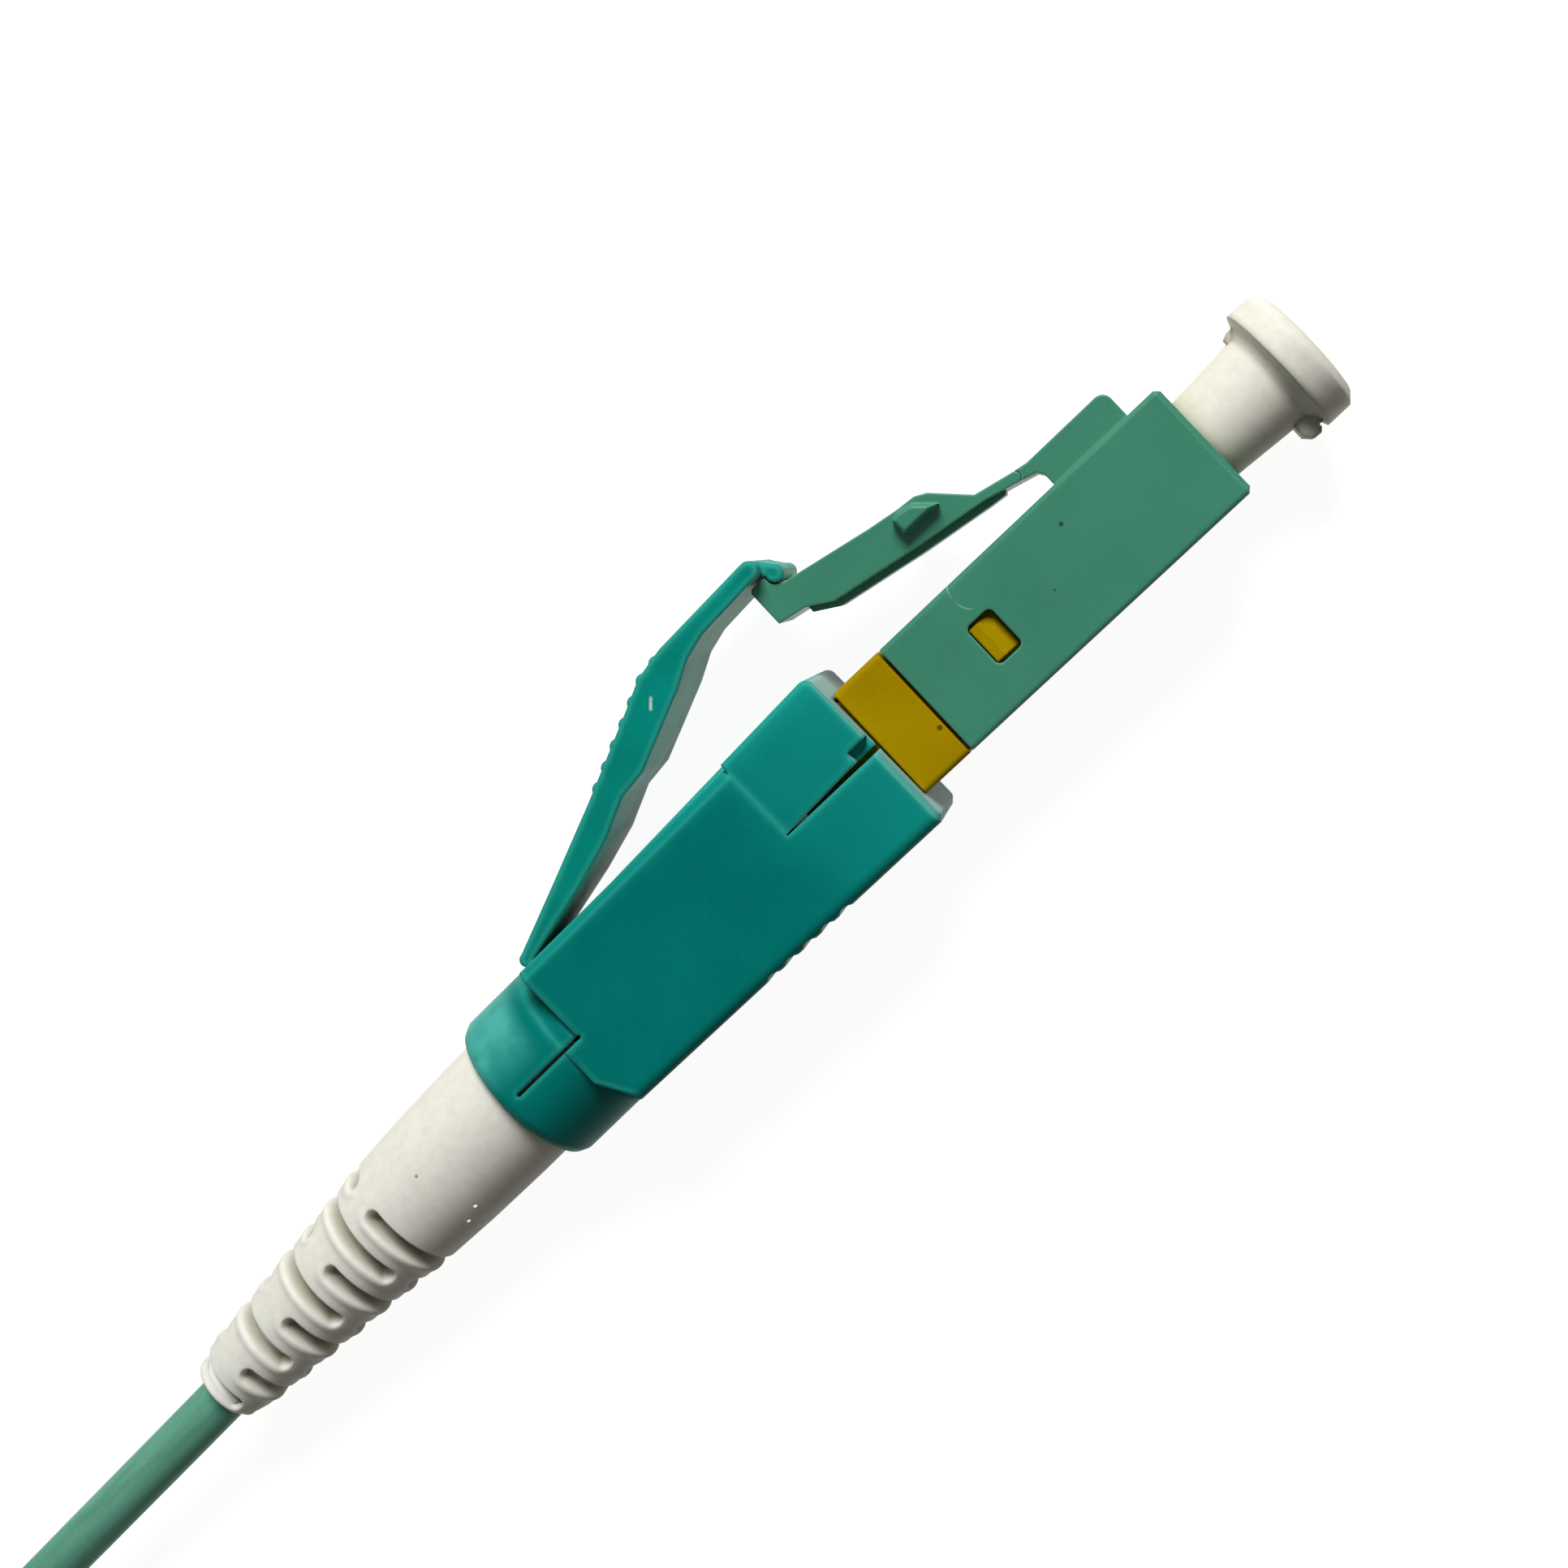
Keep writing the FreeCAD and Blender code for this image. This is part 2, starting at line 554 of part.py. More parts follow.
# ----------------------------------------------------------------- crimp sleeve, aramid, buffer
sleeve = new_body("crimp_sleeve")
sleeve_front = block_rear - collar_long - 0.3
sleeve_step = sleeve_front - sleeve_long
sleeve_rear = sleeve_step - neck_long
outer = sleeve_wide / 2
neck = cord_wide / 2 + sleeve_wall
shape = new_sketch(sleeve, "sleeve_outline", "XY_Plane")
polygon(shape, [(sleeve_front, outer - sleeve_wall), (sleeve_front, outer),
                (sleeve_step, outer), (sleeve_step, neck), (sleeve_rear, neck),
                (sleeve_rear, cord_wide / 2), (sleeve_step + sleeve_wall, cord_wide / 2),
                (sleeve_step + sleeve_wall, outer - sleeve_wall)])
turned(sleeve, "sleeve_turned", shape)

yarn = new_body("aramid_yarn")
shape = new_sketch(yarn, "yarn_outline", "XY_Plane")
rectangle(shape, sleeve_step + sleeve_wall, sleeve_front - 0.2, tail_wide / 2, outer - sleeve_wall)
turned(yarn, "yarn_turned", shape)

buffer_front = rear - 0.3
buffer_rear = sleeve_step + sleeve_wall
tight = doc.addObject("Part::Cylinder", "tight_buffer")
tight.Label = "tight_buffer"
bind(tight, "Radius", buffer_wide / 2)
bind(tight, "Height", buffer_front - buffer_rear)
tight.Placement = FreeCAD.Placement(FreeCAD.Vector(buffer_rear.value, 0, 0),
                                    FreeCAD.Rotation(FreeCAD.Vector(0, 1, 0), 90))
tight.setExpression("Placement.Base.x", buffer_rear.text)

# ----------------------------------------------------------------- trigger clip
clip = new_body("clip_shell")
clip_rear = clip_at + clip_long
step = clip_at + clip_step
shape = new_sketch(clip, "clip_outline", "XY_Plane")
polygon(shape, [(-clip_at, -clip_low), (-clip_at, clip_top), (-step, clip_top - 0.11),
                (-step, clip_deck), (-clip_rear, clip_deck), (-clip_rear, 0),
                (-(clip_rear + throat_long), 0), (-(clip_rear + throat_long), -clip_low_rear / 2),
                (-clip_rear, -clip_low_rear * 0.9), (-clip_rear, -clip_low_rear)])
pad(clip, "clip_block", shape, clip_wide, middle=True)
wide_half = clip_wide / 2
round_edges(clip, "clip_lower_edges", clip_round,
            lambda m, run, e: near(abs(m.z), wide_half) and abs(run.x) > 0.9 and m.y < -3)
round_edges(clip, "clip_brow", 0.35,
            lambda m, run, e: along(run, "z") and near(m.x, -clip_at) and near(m.y, clip_top))
bevel_edges(clip, "clip_deck_edges", deck_bevel,
            lambda m, run, e: near(abs(m.z), wide_half) and abs(run.x) > 0.9 and near(m.y, clip_deck))
bevel_edges(clip, "clip_front_edges", clip_edge,
            lambda m, run, e: near(abs(m.z), wide_half) and near(m.x, -clip_at)
            and along(run, "y"))
shape = new_sketch(clip, "ridge_outline", "XY_Plane")
polygon(shape, [(-(step - 0.1), clip_deck - 0.2), (-(step - 0.1), clip_top - 0.12),
                (-(step + ridge_long), clip_deck + 0.02), (-(step + ridge_long), clip_deck - 0.2)])
pad(clip, "clip_ridge", shape, ridge_wide, middle=True)
shape = new_sketch(clip, "throat_outline", "YZ_Plane", -(clip_rear + throat_long))
circle(shape, 0, 0, throat_wide / 2)
pad(clip, "clip_throat", shape, throat_long + 0.5)
ring_rear = clip_rear + throat_long + ring_long
ring_round = (ring_wide - ring_bore) * 0.44
shape = new_sketch(clip, "ring_outline", "XY_Plane")
rounding = [(-(ring_rear - ring_round * (1 - math.sin(math.radians(a)))),
             ring_wide / 2 - ring_round * (1 - math.cos(math.radians(a)))) for a in (0, 45, 90)]
polygon(shape, [(-(clip_rear + throat_long), 0), (-(clip_rear + throat_long), ring_wide / 2)]
        + rounding + [(-ring_rear, 0)])
turned(clip, "clip_ring", shape)
# inside: a square well for the collar, then a bore for the boot
shape = new_sketch(clip, "well_outline", "YZ_Plane", -clip_at)
well = collar_side / 2 + 0.15
rectangle(shape, -well, well, -well, well)
pocket(clip, "clip_well", shape, collar_long + 0.5)
shape = new_sketch(clip, "bore_outline", "YZ_Plane", -(clip_at + collar_long + 0.45))
circle(shape, 0, 0, throat_wide / 2 - throat_wall)
pocket(clip, "clip_bore", shape,
       clip_long - collar_long - 0.45 + throat_long + ring_floor)
shape = new_sketch(clip, "ring_bore_outline", "YZ_Plane", -(clip_rear + throat_long + ring_floor))
circle(shape, 0, 0, ring_bore / 2)
pocket(clip, "ring_bore_cut", shape, ring_long)
# upper flank: tongue set back, slit below it, notch at the front
shape = new_sketch(clip, "tongue_outline", "XY_Plane", wide_half)
rectangle(shape, -step, -clip_at + 0.1, 0.0, clip_top + 0.2)
pocket(clip, "clip_tongue", shape, tongue_deep)
shape = new_sketch(clip, "slit_outline", "XY_Plane", wide_half)
polygon(shape, [(-clip_at + 0.1, -0.12), (-clip_at + 0.1, slit_high - 0.12),
                (-(clip_at + 0.8), slit_high - 0.12), (-(step + 0.02), 0.0),
                (-(step + 0.02), -0.06)])
pocket(clip, "clip_slit", shape, wide_half - well + 0.1)
shape = new_sketch(clip, "notch_front_outline", "XY_Plane", wide_half)
rectangle(shape, -(clip_at + 0.8), -clip_at + 0.1, -0.12, 0.5)
pocket(clip, "clip_notch", shape, 0.6)
shape = new_sketch(clip, "ring_slit_outline", "XY_Plane", wide_half)
rectangle(shape, -(ring_rear - 0.75), -(clip_rear - 0.1), -slot_thin / 2, slot_thin / 2)
pocket(clip, "ring_slit", shape, wide_half)
# grip grooves across the lower edge
grooves = 5
radius = 0.42
for k in range(grooves):
    middle = step + grip_pitch * (k + 0.5)
    shape = new_sketch(clip, "grip_outline_%d" % k, "XY_Plane")
    slope = (clip_low - clip_low_rear) / clip_long
    level = -clip_low + slope * (middle - clip_at)
    circle(shape, -middle, level - radius + grip_deep, radius)
    pocket(clip, "grip_groove_%d" % k, shape, clip_wide + 0.2, middle=True)
# seat of the trigger's knuckle in the deck
hinge_x = trigger_back - clip_rear
hinge_y = clip_deck + trigger_high
shape = new_sketch(clip, "hinge_seat_outline", "XY_Plane")
circle(shape, hinge_x, hinge_y, trigger_root / 2 + joint_gap)
pocket(clip, "hinge_seat", shape, trigger_wide + 0.2, middle=True)

# ----------------------------------------------------------------- trigger
trigger = new_body("trigger")
turn = math.radians(clip_tilt.value)
# the bead's middle in the clip's frame, so that it rests in the latch arm's notch
bead_dx = bead_x.value + clip_at.value
bx = -clip_at.value + bead_dx * math.cos(turn) + bead_y.value * math.sin(turn)
by = -bead_dx * math.sin(turn) + bead_y.value * math.cos(turn)
root = trigger_root / 2


def on_blade(share, height):
    """A point of the blade: shares of the way from the hinge to the bead."""
    return (hinge_x + (bx - hinge_x) * share, hinge_y + (by - hinge_y) * height)


blade_top = [(0.158, 0.341), (0.355, 0.682), (0.557, 1.059), (0.629, 1.202), (0.708, 1.258),
             (0.961, 1.276), (0.977, 1.267)]
blade_under = [(0.977, 1.089), (0.941, 1.08), (0.796, 1.059), (0.737, 0.994), (0.672, 0.846),
               (0.488, 0.514), (0.415, 0.481), (0.317, 0.288), (0.204, 0.148), (0.013, -0.036)]
shape = new_sketch(trigger, "trigger_outline", "XY_Plane")
polygon(shape, [(hinge_x, hinge_y + root)] + [on_blade(*spot) for spot in blade_top + blade_under]
        + [(hinge_x, hinge_y - root)])
pad(trigger, "trigger_blade", shape, trigger_wide, middle=True)
shape = new_sketch(trigger, "hinge_outline", "XY_Plane")
circle(shape, hinge_x, hinge_y, root)
pad(trigger, "trigger_hinge", shape, trigger_wide, middle=True)
shape = new_sketch(trigger, "head_outline", "XY_Plane")
circle(shape, *on_blade(0.967, 1.178), head_round)
pad(trigger, "trigger_head", shape, trigger_wide, middle=True)
shape = new_sketch(trigger, "bead_outline", "XY_Plane")
circle(shape, bx, by, bead_round)
pad(trigger, "trigger_bead", shape, latch_wide + 0.2, middle=True)
shape = new_sketch(trigger, "web_outline", "XY_Plane")
polygon(shape, [(bx + bead_round * across, by + bead_round * high)
                for across, high in ((-1.67, 1.0), (-0.67, 2.5), (0.67, 0.67), (-0.4, 0.17))])
pad(trigger, "trigger_web", shape, latch_wide + 0.2, middle=True)
# thumb ribs along the upper side, between two shares of the blade
ribs = 7
for k in range(ribs):
    share = 0.704 - (0.704 - 0.369) * (k + 0.5) / ribs
    for (s0, h0), (s1, h1) in zip(blade_top, blade_top[1:]):
        if s0 <= share <= s1:
            height = h0 + (h1 - h0) * (share - s0) / (s1 - s0)
    x, y = on_blade(share, height)
    shape = new_sketch(trigger, "rib_outline_%d" % k, "XY_Plane")
    circle(shape, x, y - rib_round + rib_out, rib_round)
    pad(trigger, "thumb_rib_%d" % k, shape, trigger_wide - 0.1, middle=True)

# ----------------------------------------------------------------- boot
boot = new_body("boot")
start = ring_rear
front_end = -(start - boot_inside)
room_end = front_end - boot_room_long
mouth = boot_bore / 2
big = boot_wide / 2
tip = boot_end / 2
inside = throat_wide / 2 - throat_wall - boot_gap
held = ring_bore / 2 - boot_gap


def behind(share, drop):
    """A point of the boot's outline: shares of its length and of its taper."""
    return (-(start + boot_long * share), big - (big - tip) * drop)


def radius_behind(at):
    """The boot's outer radius at a distance behind the housing's front."""
    for (x0, r0), (x1, r1) in zip(taper, taper[1:]):
        if -x0.value <= at <= -x1.value:
            return r0.value + (r1 - r0).value * (at + x0.value) / (x0 - x1).value


held_front = -(clip_rear + throat_long + ring_floor + boot_gap)
taper = [behind(0.0, 0.0), behind(0.14, 0.0), behind(0.53, 0.374), behind(1.0, 1.04)]
outline = [(front_end, inside), (held_front, inside), (held_front, held), (-start, held), *taper,
           (-(start + boot_long), mouth), (room_end, mouth), (room_end, boot_room / 2),
           (front_end, boot_room / 2)]
shape = new_sketch(boot, "boot_outline", "XY_Plane")
polygon(shape, corners_of(outline))
turned(boot, "boot_turned", shape)
# two rows of bend slots, each level a pair of slots that leaves two webs
row_leans = (90 + slot_lean.value, slot_lean.value)
for row, lean in enumerate(row_leans):
    first = slot_first + slot_shift * row
    levels = 1 + int((boot_long - slot_plain - first).value / slot_pitch.value)
    for k in range(levels):
        at = start + first + slot_pitch * k
        for turn_by in (0, 180):
            shape = new_sketch(boot, "slot_%d_%d_%d" % (row, k, turn_by), "YZ_Plane",
                               -at - slot_wide / 2)
            turn = math.radians(lean + turn_by)
            bottom = radius_behind(at.value) * math.cos(math.radians(slot_open.value / 2))
            polygon(shape, [(away * math.cos(turn) - across * math.sin(turn),
                             away * math.sin(turn) + across * math.cos(turn))
                            for away, across in ((bottom, -big.value - 1), (big.value + 1, -big.value - 1),
                                                 (big.value + 1, big.value + 1), (bottom, big.value + 1))])
            pocket(boot, "slot_cut_%d_%d_%d" % (row, k, turn_by), shape, slot_wide, back=True)

# ----------------------------------------------------------------- dust cap
cap = new_body("dust_cap")
stem = cap_wide / 2
far = cap_wide_far / 2
rim = cap_flange / 2


def on_flange(share, height):
    """A point of the flange: shares of its length and of its height over the stem."""
    return (cap_stem + (cap_long - cap_stem) * share, far + (rim - far) * height)


shape = new_sketch(cap, "cap_outline", "XY_Plane")
polygon(shape, [(-cap_inside, cap_bore / 2), (-cap_inside, nose_bore / 2 - fit_gap),
                (seat_gap, nose_bore / 2 - fit_gap), (seat_gap, stem), (cap_stem, far),
                on_flange(0.14, 0.35), on_flange(0.25, 1.0), on_flange(0.82, 1.0),
                on_flange(1.0, 0.5), (cap_long, 0),
                (ferrule_out + cap_room, 0), (ferrule_out + cap_room, cap_bore / 2)])
turned(cap, "cap_turned", shape)
shape = new_sketch(cap, "cap_lug_outline", "XY_Plane")
polygon(shape, [(x, -y) for x, y in (on_flange(-0.3, -0.47), on_flange(-0.3, 0.6),
                                     on_flange(-0.16, 0.98), on_flange(0.02, 1.0),
                                     on_flange(0.1, 0.8), on_flange(0.1, 0.62),
                                     on_flange(0.3, 0.62), on_flange(0.3, -0.47))])
pad(cap, "cap_lug", shape, cap_lug_wide, middle=True)
shape = new_sketch(cap, "cap_nub_outline", "XY_Plane")
polygon(shape, [on_flange(-0.12, -0.31), on_flange(0.25, -0.31), on_flange(0.25, 0.4),
                on_flange(0.0, 0.4), on_flange(-0.12, 0.25)])
pad(cap, "cap_nub", shape, cap_nub_wide, middle=True)

# ----------------------------------------------------------------- placements
pivot = (-clip_at.value, 0, 0)
for item in (clip, trigger):
    tilted(item, pivot, clip_tilt.value)
ring_middle = FreeCAD.Vector(-ring_rear.value, 0, 0)
clip_place = clip.Placement.multVec(ring_middle)
boot_turn = FreeCAD.Rotation(FreeCAD.Vector(0, 0, 1), boot_tilt.value)
boot.Placement = FreeCAD.Placement(clip_place - boot_turn.multVec(ring_middle), boot_turn)

# ----------------------------------------------------------------- cord
floor = -clip_wide.value / 2
thick = cord_wide.value
lying = floor + tie_thick.value + thick / 2
turns_wide, turns_high = 3, 5
coil_across = 10.2  # cord diameters across the middle of the turns
coil_mean = coil_across * thick / 2
coil_x, coil_y = -71.6, 9.3
last_turn = coil_mean + (turns_wide - 1) * thick / 2
route = [(buffer_rear.value, 0.0, 0.0), (-30.5, 0.0, 0.0), (-45.0, -0.88, 0.0),
         (-58.5, -1.37, -0.6), (coil_x + 4.6, coil_y - last_turn, lying)]


def rounded_path(points):
    """Straight runs joined by tangent arcs; prints each radius."""
    vectors = [FreeCAD.Vector(*p) for p in points]
    edges = []
    at = vectors[0]
    length = 0.0
    for before, here, after in zip(vectors, vectors[1:], vectors[2:]):
        back, ahead = before - here, after - here
        turn_angle = math.pi - back.getAngle(ahead)
        short = min(back.Length, ahead.Length)
        trim = 0.45 * short
        arc_radius = trim / math.tan(turn_angle / 2)
        print("cord radius %.1f mm, turn %.2f degrees" % (arc_radius, math.degrees(turn_angle)))
        back.normalize()
        ahead.normalize()
        enter, leave = here + back * trim, here + ahead * trim
        inward = (back + ahead)
        inward.normalize()
        centre = here + inward * (arc_radius / math.cos(turn_angle / 2))
        middle = centre - inward * arc_radius
        edges.append(Part.LineSegment(at, enter).toShape())
        edges.append(Part.Arc(enter, middle, leave).toShape())
        at = leave
    edges.append(Part.LineSegment(at, vectors[-1]).toShape())
    return Part.Wire(edges)


path = rounded_path(route)
first_edge = path.Edges[0]
section = Part.Wire(Part.makeCircle(thick / 2, FreeCAD.Vector(*route[0]), first_edge.tangentAt(0)))
tube = path.makePipeShell([section], True, True)
wanted = math.pi * thick ** 2 / 4 * path.Length
print("cord volume %.3f, section times length %.3f" % (tube.Volume, wanted))
cable = doc.addObject("Part::Feature", "cable")
cable.Label = "cable"
cable.Shape = tube

# the bundle is a ring of many flats, whose middle is the middle of the turns
coil = new_body("cable_coil")
shape = new_sketch(coil, "coil_outline", "XY_Plane")
cord_side = cord_wide * turns_wide
cord_high = cord_wide * turns_high
flats = 24
for radius in (coil_mean - cord_side / 2, coil_mean + cord_side / 2):
    polygon(shape, [(radius * math.cos(2 * math.pi * k / flats),
                     radius * math.sin(2 * math.pi * k / flats)) for k in range(flats)])
pad(coil, "coil_ring", shape, cord_high)
coil.Placement = FreeCAD.Placement(FreeCAD.Vector(coil_x, coil_y, floor + tie_thick.value),
                                   FreeCAD.Rotation())

# the tie: a flat strap round the bundle, on the side away from the connector
slack = 0.2
band = []
for name, grow in (("tie_outside", tie_thick), ("tie_inside", Size(0.0, "0"))):
    box = doc.addObject("Part::Box", name)
    bind(box, "Length", cord_side + 2 * slack + 2 * grow)
    bind(box, "Width", tie_wide)
    bind(box, "Height", cord_high + 2 * grow)
    box.Placement = FreeCAD.Placement(
        FreeCAD.Vector(coil_x - coil_mean - cord_side.value / 2 - slack - grow.value,
                       coil_y - tie_wide.value / 2, floor + tie_thick.value - grow.value),
        FreeCAD.Rotation())
    band.append(box)
tie = doc.addObject("Part::Cut", "coil_tie")
tie.Label = "coil_tie"
tie.Base, tie.Tool = band
doc.recompute()

# ----------------------------------------------------------------- check and write
nodes = [housing, arm, ferrule, flange, fibre, inner, spring, sleeve, yarn, tight, clip, trigger,
         boot, cap, cable, coil, tie]
for item in doc.Objects:
    if "Invalid" in item.State or "Error" in item.State:
        raise RuntimeError("%s is not built: %s" % (item.Name, item.State))
os.makedirs("parts", exist_ok=True)
for item in nodes:
    if item.Shape.isNull() or not item.Shape.isValid() or len(item.Shape.Solids) != 1:
        raise RuntimeError("%s has no single sound solid (%d)" % (item.Label, len(item.Shape.Solids)))
    item.Shape.exportStep("parts/%s.step" % item.Label)
    print("%-16s volume %9.3f mm3" % (item.Label, item.Shape.Volume))
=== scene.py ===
# %% [markdown]
# # A fibre connector, dressed
# The connector is a small plastic plug for a glass fibre: a square green housing with a
# springy latch, a yellow inner body, a teal clip with a trigger, a soft white boot and a
# white dust cap.  Its hard pieces come ready made from the CAD model.  This lesson gives
# each of them its surface, makes the soft boot, the cord and the latch's spine as meshes of
# their own, and ends with the table, the light and the backdrop.

# %% The frame
import bpy
import math
from mathutils import Matrix, Vector


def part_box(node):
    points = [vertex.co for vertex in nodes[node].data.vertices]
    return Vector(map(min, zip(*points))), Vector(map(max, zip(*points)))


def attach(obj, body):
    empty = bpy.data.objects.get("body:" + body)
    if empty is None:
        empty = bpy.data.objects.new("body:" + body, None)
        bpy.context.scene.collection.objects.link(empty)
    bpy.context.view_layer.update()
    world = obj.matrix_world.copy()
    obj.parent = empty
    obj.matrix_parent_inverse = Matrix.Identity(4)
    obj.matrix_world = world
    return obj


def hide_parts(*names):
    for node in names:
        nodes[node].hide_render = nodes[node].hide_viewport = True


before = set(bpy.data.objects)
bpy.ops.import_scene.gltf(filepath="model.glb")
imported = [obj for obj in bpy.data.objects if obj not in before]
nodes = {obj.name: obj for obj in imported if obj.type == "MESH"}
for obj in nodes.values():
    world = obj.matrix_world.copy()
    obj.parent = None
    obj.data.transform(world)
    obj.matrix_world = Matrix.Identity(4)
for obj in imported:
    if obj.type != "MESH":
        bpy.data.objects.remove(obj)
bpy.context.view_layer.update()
MM = 0.001
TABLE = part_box("clip_shell")[0][2]
MIDDLE = Vector((-0.02, 0, 0))  # what the lamp looks at, and the table's middle


def show(name, data):
    """A new object in the scene that carries a mesh, a lamp or a camera."""
    item = bpy.data.objects.new(name, data)
    bpy.context.scene.collection.objects.link(item)
    return item


def shaped(name, points, faces):
    """A new mesh object, from points in metres and faces that number them."""
    mesh = bpy.data.meshes.new(name)
    mesh.from_pydata(points, [], faces)
    mesh.update()
    return show(name, mesh)


print("nodes:", len(nodes), "table height:", round(TABLE / MM, 3), "mm")

# %% [markdown]
# ## Camera
# A small object is seen from close by, so its near end looks larger than its far end.  The
# camera could be set by hand in the viewport; here it is placed by three facts: where the
# lens is, where it points, and how far the camera is rolled, which puts the plug in the
# upper right and the cord in the lower left.

# %% Camera
LENS_AT = Vector((-3.93, -0.28, 77.25)) * MM
LOOK_AT = Vector((-17.58, 1.20, 2.25)) * MM
ROLL = math.radians(43.33)
FOCAL, SENSOR, NEAREST = 52.75, 36.0, 0.005
forward = (LOOK_AT - LENS_AT).normalized()
level = (Vector((1, 0, 0)) - forward * forward.x).normalized()
above = level.cross(forward)
right = level * math.cos(ROLL) - above * math.sin(ROLL)
up = level * math.sin(ROLL) + above * math.cos(ROLL)
camera_data = bpy.data.cameras.new("camera")
camera_data.lens = FOCAL
camera_data.sensor_width = SENSOR
camera_data.clip_start = NEAREST
camera = show("camera", camera_data)
camera.matrix_world = Matrix((right, up, -forward)).transposed().to_4x4()
camera.matrix_world.translation = LENS_AT
bpy.context.scene.camera = camera
print("lens to table:", round((LENS_AT.z - TABLE) / MM, 1), "mm")

# %% [markdown]
# ## The cord
# A pigtail cord of some 0.9 m leaves the boot, sinks to the table and is put away as a neat
# coil.  Its line is a NURBS spline with few control points, which bends as softly as a real
# cord.  The round tube along it is turned into a mesh: a curve of a few centimetres
# reports a box of metres, and a mesh has its true size.  The turns of the coil lie beside
# and on each other, one cord's thickness apart, and change layer at the inside and outside.

# %% The route of the cord
CORD = 1.8
ROUTE = [(-23.18, 0.0, 0.0), (-30.5, 0.0, 0.0), (-45.0, -0.88, 0.0), (-58.5, -1.37, -0.6),
         (-67.0, -1.7, -1.9)]
COIL_X, COIL_Y, COIL_MEAN = -71.6, 9.3, 9.18
COLUMNS, LAYERS = 3, 5
POINTS_A_TURN = 20
STEP_OVER = 0.78  # the share of a turn that is a plain circle


def turn_place(turn):
    """Column and layer of a whole turn: inwards on one layer, outwards on the next."""
    layer, inside = divmod(min(turn, COLUMNS * LAYERS - 1), COLUMNS)
    return Vector((COLUMNS - 1 - inside if layer % 2 == 0 else inside, layer))


def coil_points():
    """Points of the coil's turns; each turn is a circle that steps over at its end."""
    swell = 1 / math.cos(math.pi / POINTS_A_TURN)
    points = []
    for step in range(1, COLUMNS * LAYERS * POINTS_A_TURN):
        turn, along = divmod(step / POINTS_A_TURN, 1)
        moved = max(0.0, (along - STEP_OVER) / (1 - STEP_OVER))
        column, layer = turn_place(int(turn)).lerp(turn_place(int(turn) + 1), moved)
        radius = (COIL_MEAN + (column - (COLUMNS - 1) / 2) * CORD) * swell
        angle = -math.pi / 2 - 2 * math.pi * along
        points.append((COIL_X + radius * math.cos(angle), COIL_Y + radius * math.sin(angle),
                       ROUTE[-1][2] + CORD * layer))
    return points


def cord_tube(name, points, thickness):
    """A round cord along a smooth spline over the points, in millimetres, and its line."""
    curve = bpy.data.curves.new(name + "_route", "CURVE")
    curve.dimensions = "3D"
    spline = curve.splines.new("NURBS")
    spline.points.add(len(points) - 1)
    for point, place in zip(spline.points, points):
        point.co = (*(Vector(place) * MM), 1.0)
    spline.order_u = 3
    spline.use_endpoint_u = True
    spline.resolution_u = 6
    route = bpy.data.objects.new(name + "_route", curve)
    line = [tuple(v.co) for v in bpy.data.meshes.new_from_object(route).vertices]
    curve.bevel_depth = thickness * MM / 2
    curve.bevel_resolution = 5
    curve.use_fill_caps = True
    tube = bpy.data.meshes.new_from_object(route)
    for face in tube.polygons:
        face.use_smooth = len(face.vertices) == 4  # the ends stay flat
    bpy.data.objects.remove(route)
    return show(name, tube), line


cord, cord_line = cord_tube("cord", ROUTE + coil_points(), CORD)
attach(cord, "connector")
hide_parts("cable", "cable_coil")
print("points along the cord:", len(cord_line), "faces:", len(cord.data.polygons))

# %% [markdown]
# ## Shader arithmetic
# A finish is mostly a sum: a base colour, a little cloudiness, a scratch, a speck.  In the
# node editor each step is one more node and a tangle of wires.  Here a small class stands
# for one wire and understands + - * / so that the sum is written as a line of Python.

# %% A wire that can be calculated with
class Wire:
    """One output in a graph of nodes.  Arithmetic on it adds Math nodes."""

    def __init__(self, graph, socket):
        self.graph, self.socket = graph, socket

    def math(self, operation, *inputs):
        return self.graph.node("ShaderNodeMath", {"operation": operation},
                               dict(enumerate(inputs)))["Value"]

    def __add__(self, other):
        return self.math("ADD", self, other)

    def __sub__(self, other):
        return self.math("SUBTRACT", self, other)

    def __rsub__(self, other):
        return self.math("SUBTRACT", other, self)

    def __mul__(self, other):
        return self.math("MULTIPLY", self, other)

    def __truediv__(self, other):
        return self.math("DIVIDE", self, other)

    def __rtruediv__(self, other):
        return self.math("DIVIDE", other, self)

    def __abs__(self):
        return self.math("ABSOLUTE", self)

    __radd__, __rmul__ = __add__, __mul__


print("a wire knows:", ", ".join(k for k in vars(Wire) if k.startswith("__r")))

# %% [markdown]
# ## A finish
# Every surface of the connector is a Principled shader with something that varies: mottled
# colour, uneven gloss and a fine grain from the mould.  Two classes keep the recipe short.
# A graph is any tree of nodes, and its `node` method makes any node: first the settings,
# then the values or wires of its inputs.  A finish is the graph of one material.  Patterns
# are laid out in millimetres of the connector itself, so they have the right scale.

# %% The graph and finish classes
SPECK_CORE = 0.55  # the share of a speck's size that is full, before it fades
EDGE_TURN = (0.86, 0.995)  # how alike the rounded and flat normals are on and off an edge
BEVEL_SAMPLES, HOLLOW_SAMPLES = 6, 8


def paint(red, green, blue):
    """A display colour, 0 to 255 each, as the linear colour that shaders want."""
    def linear(c):
        c /= 255
        return c / 12.92 if c <= 0.04045 else ((c + 0.055) / 1.055) ** 2.4
    return (linear(red), linear(green), linear(blue), 1.0)


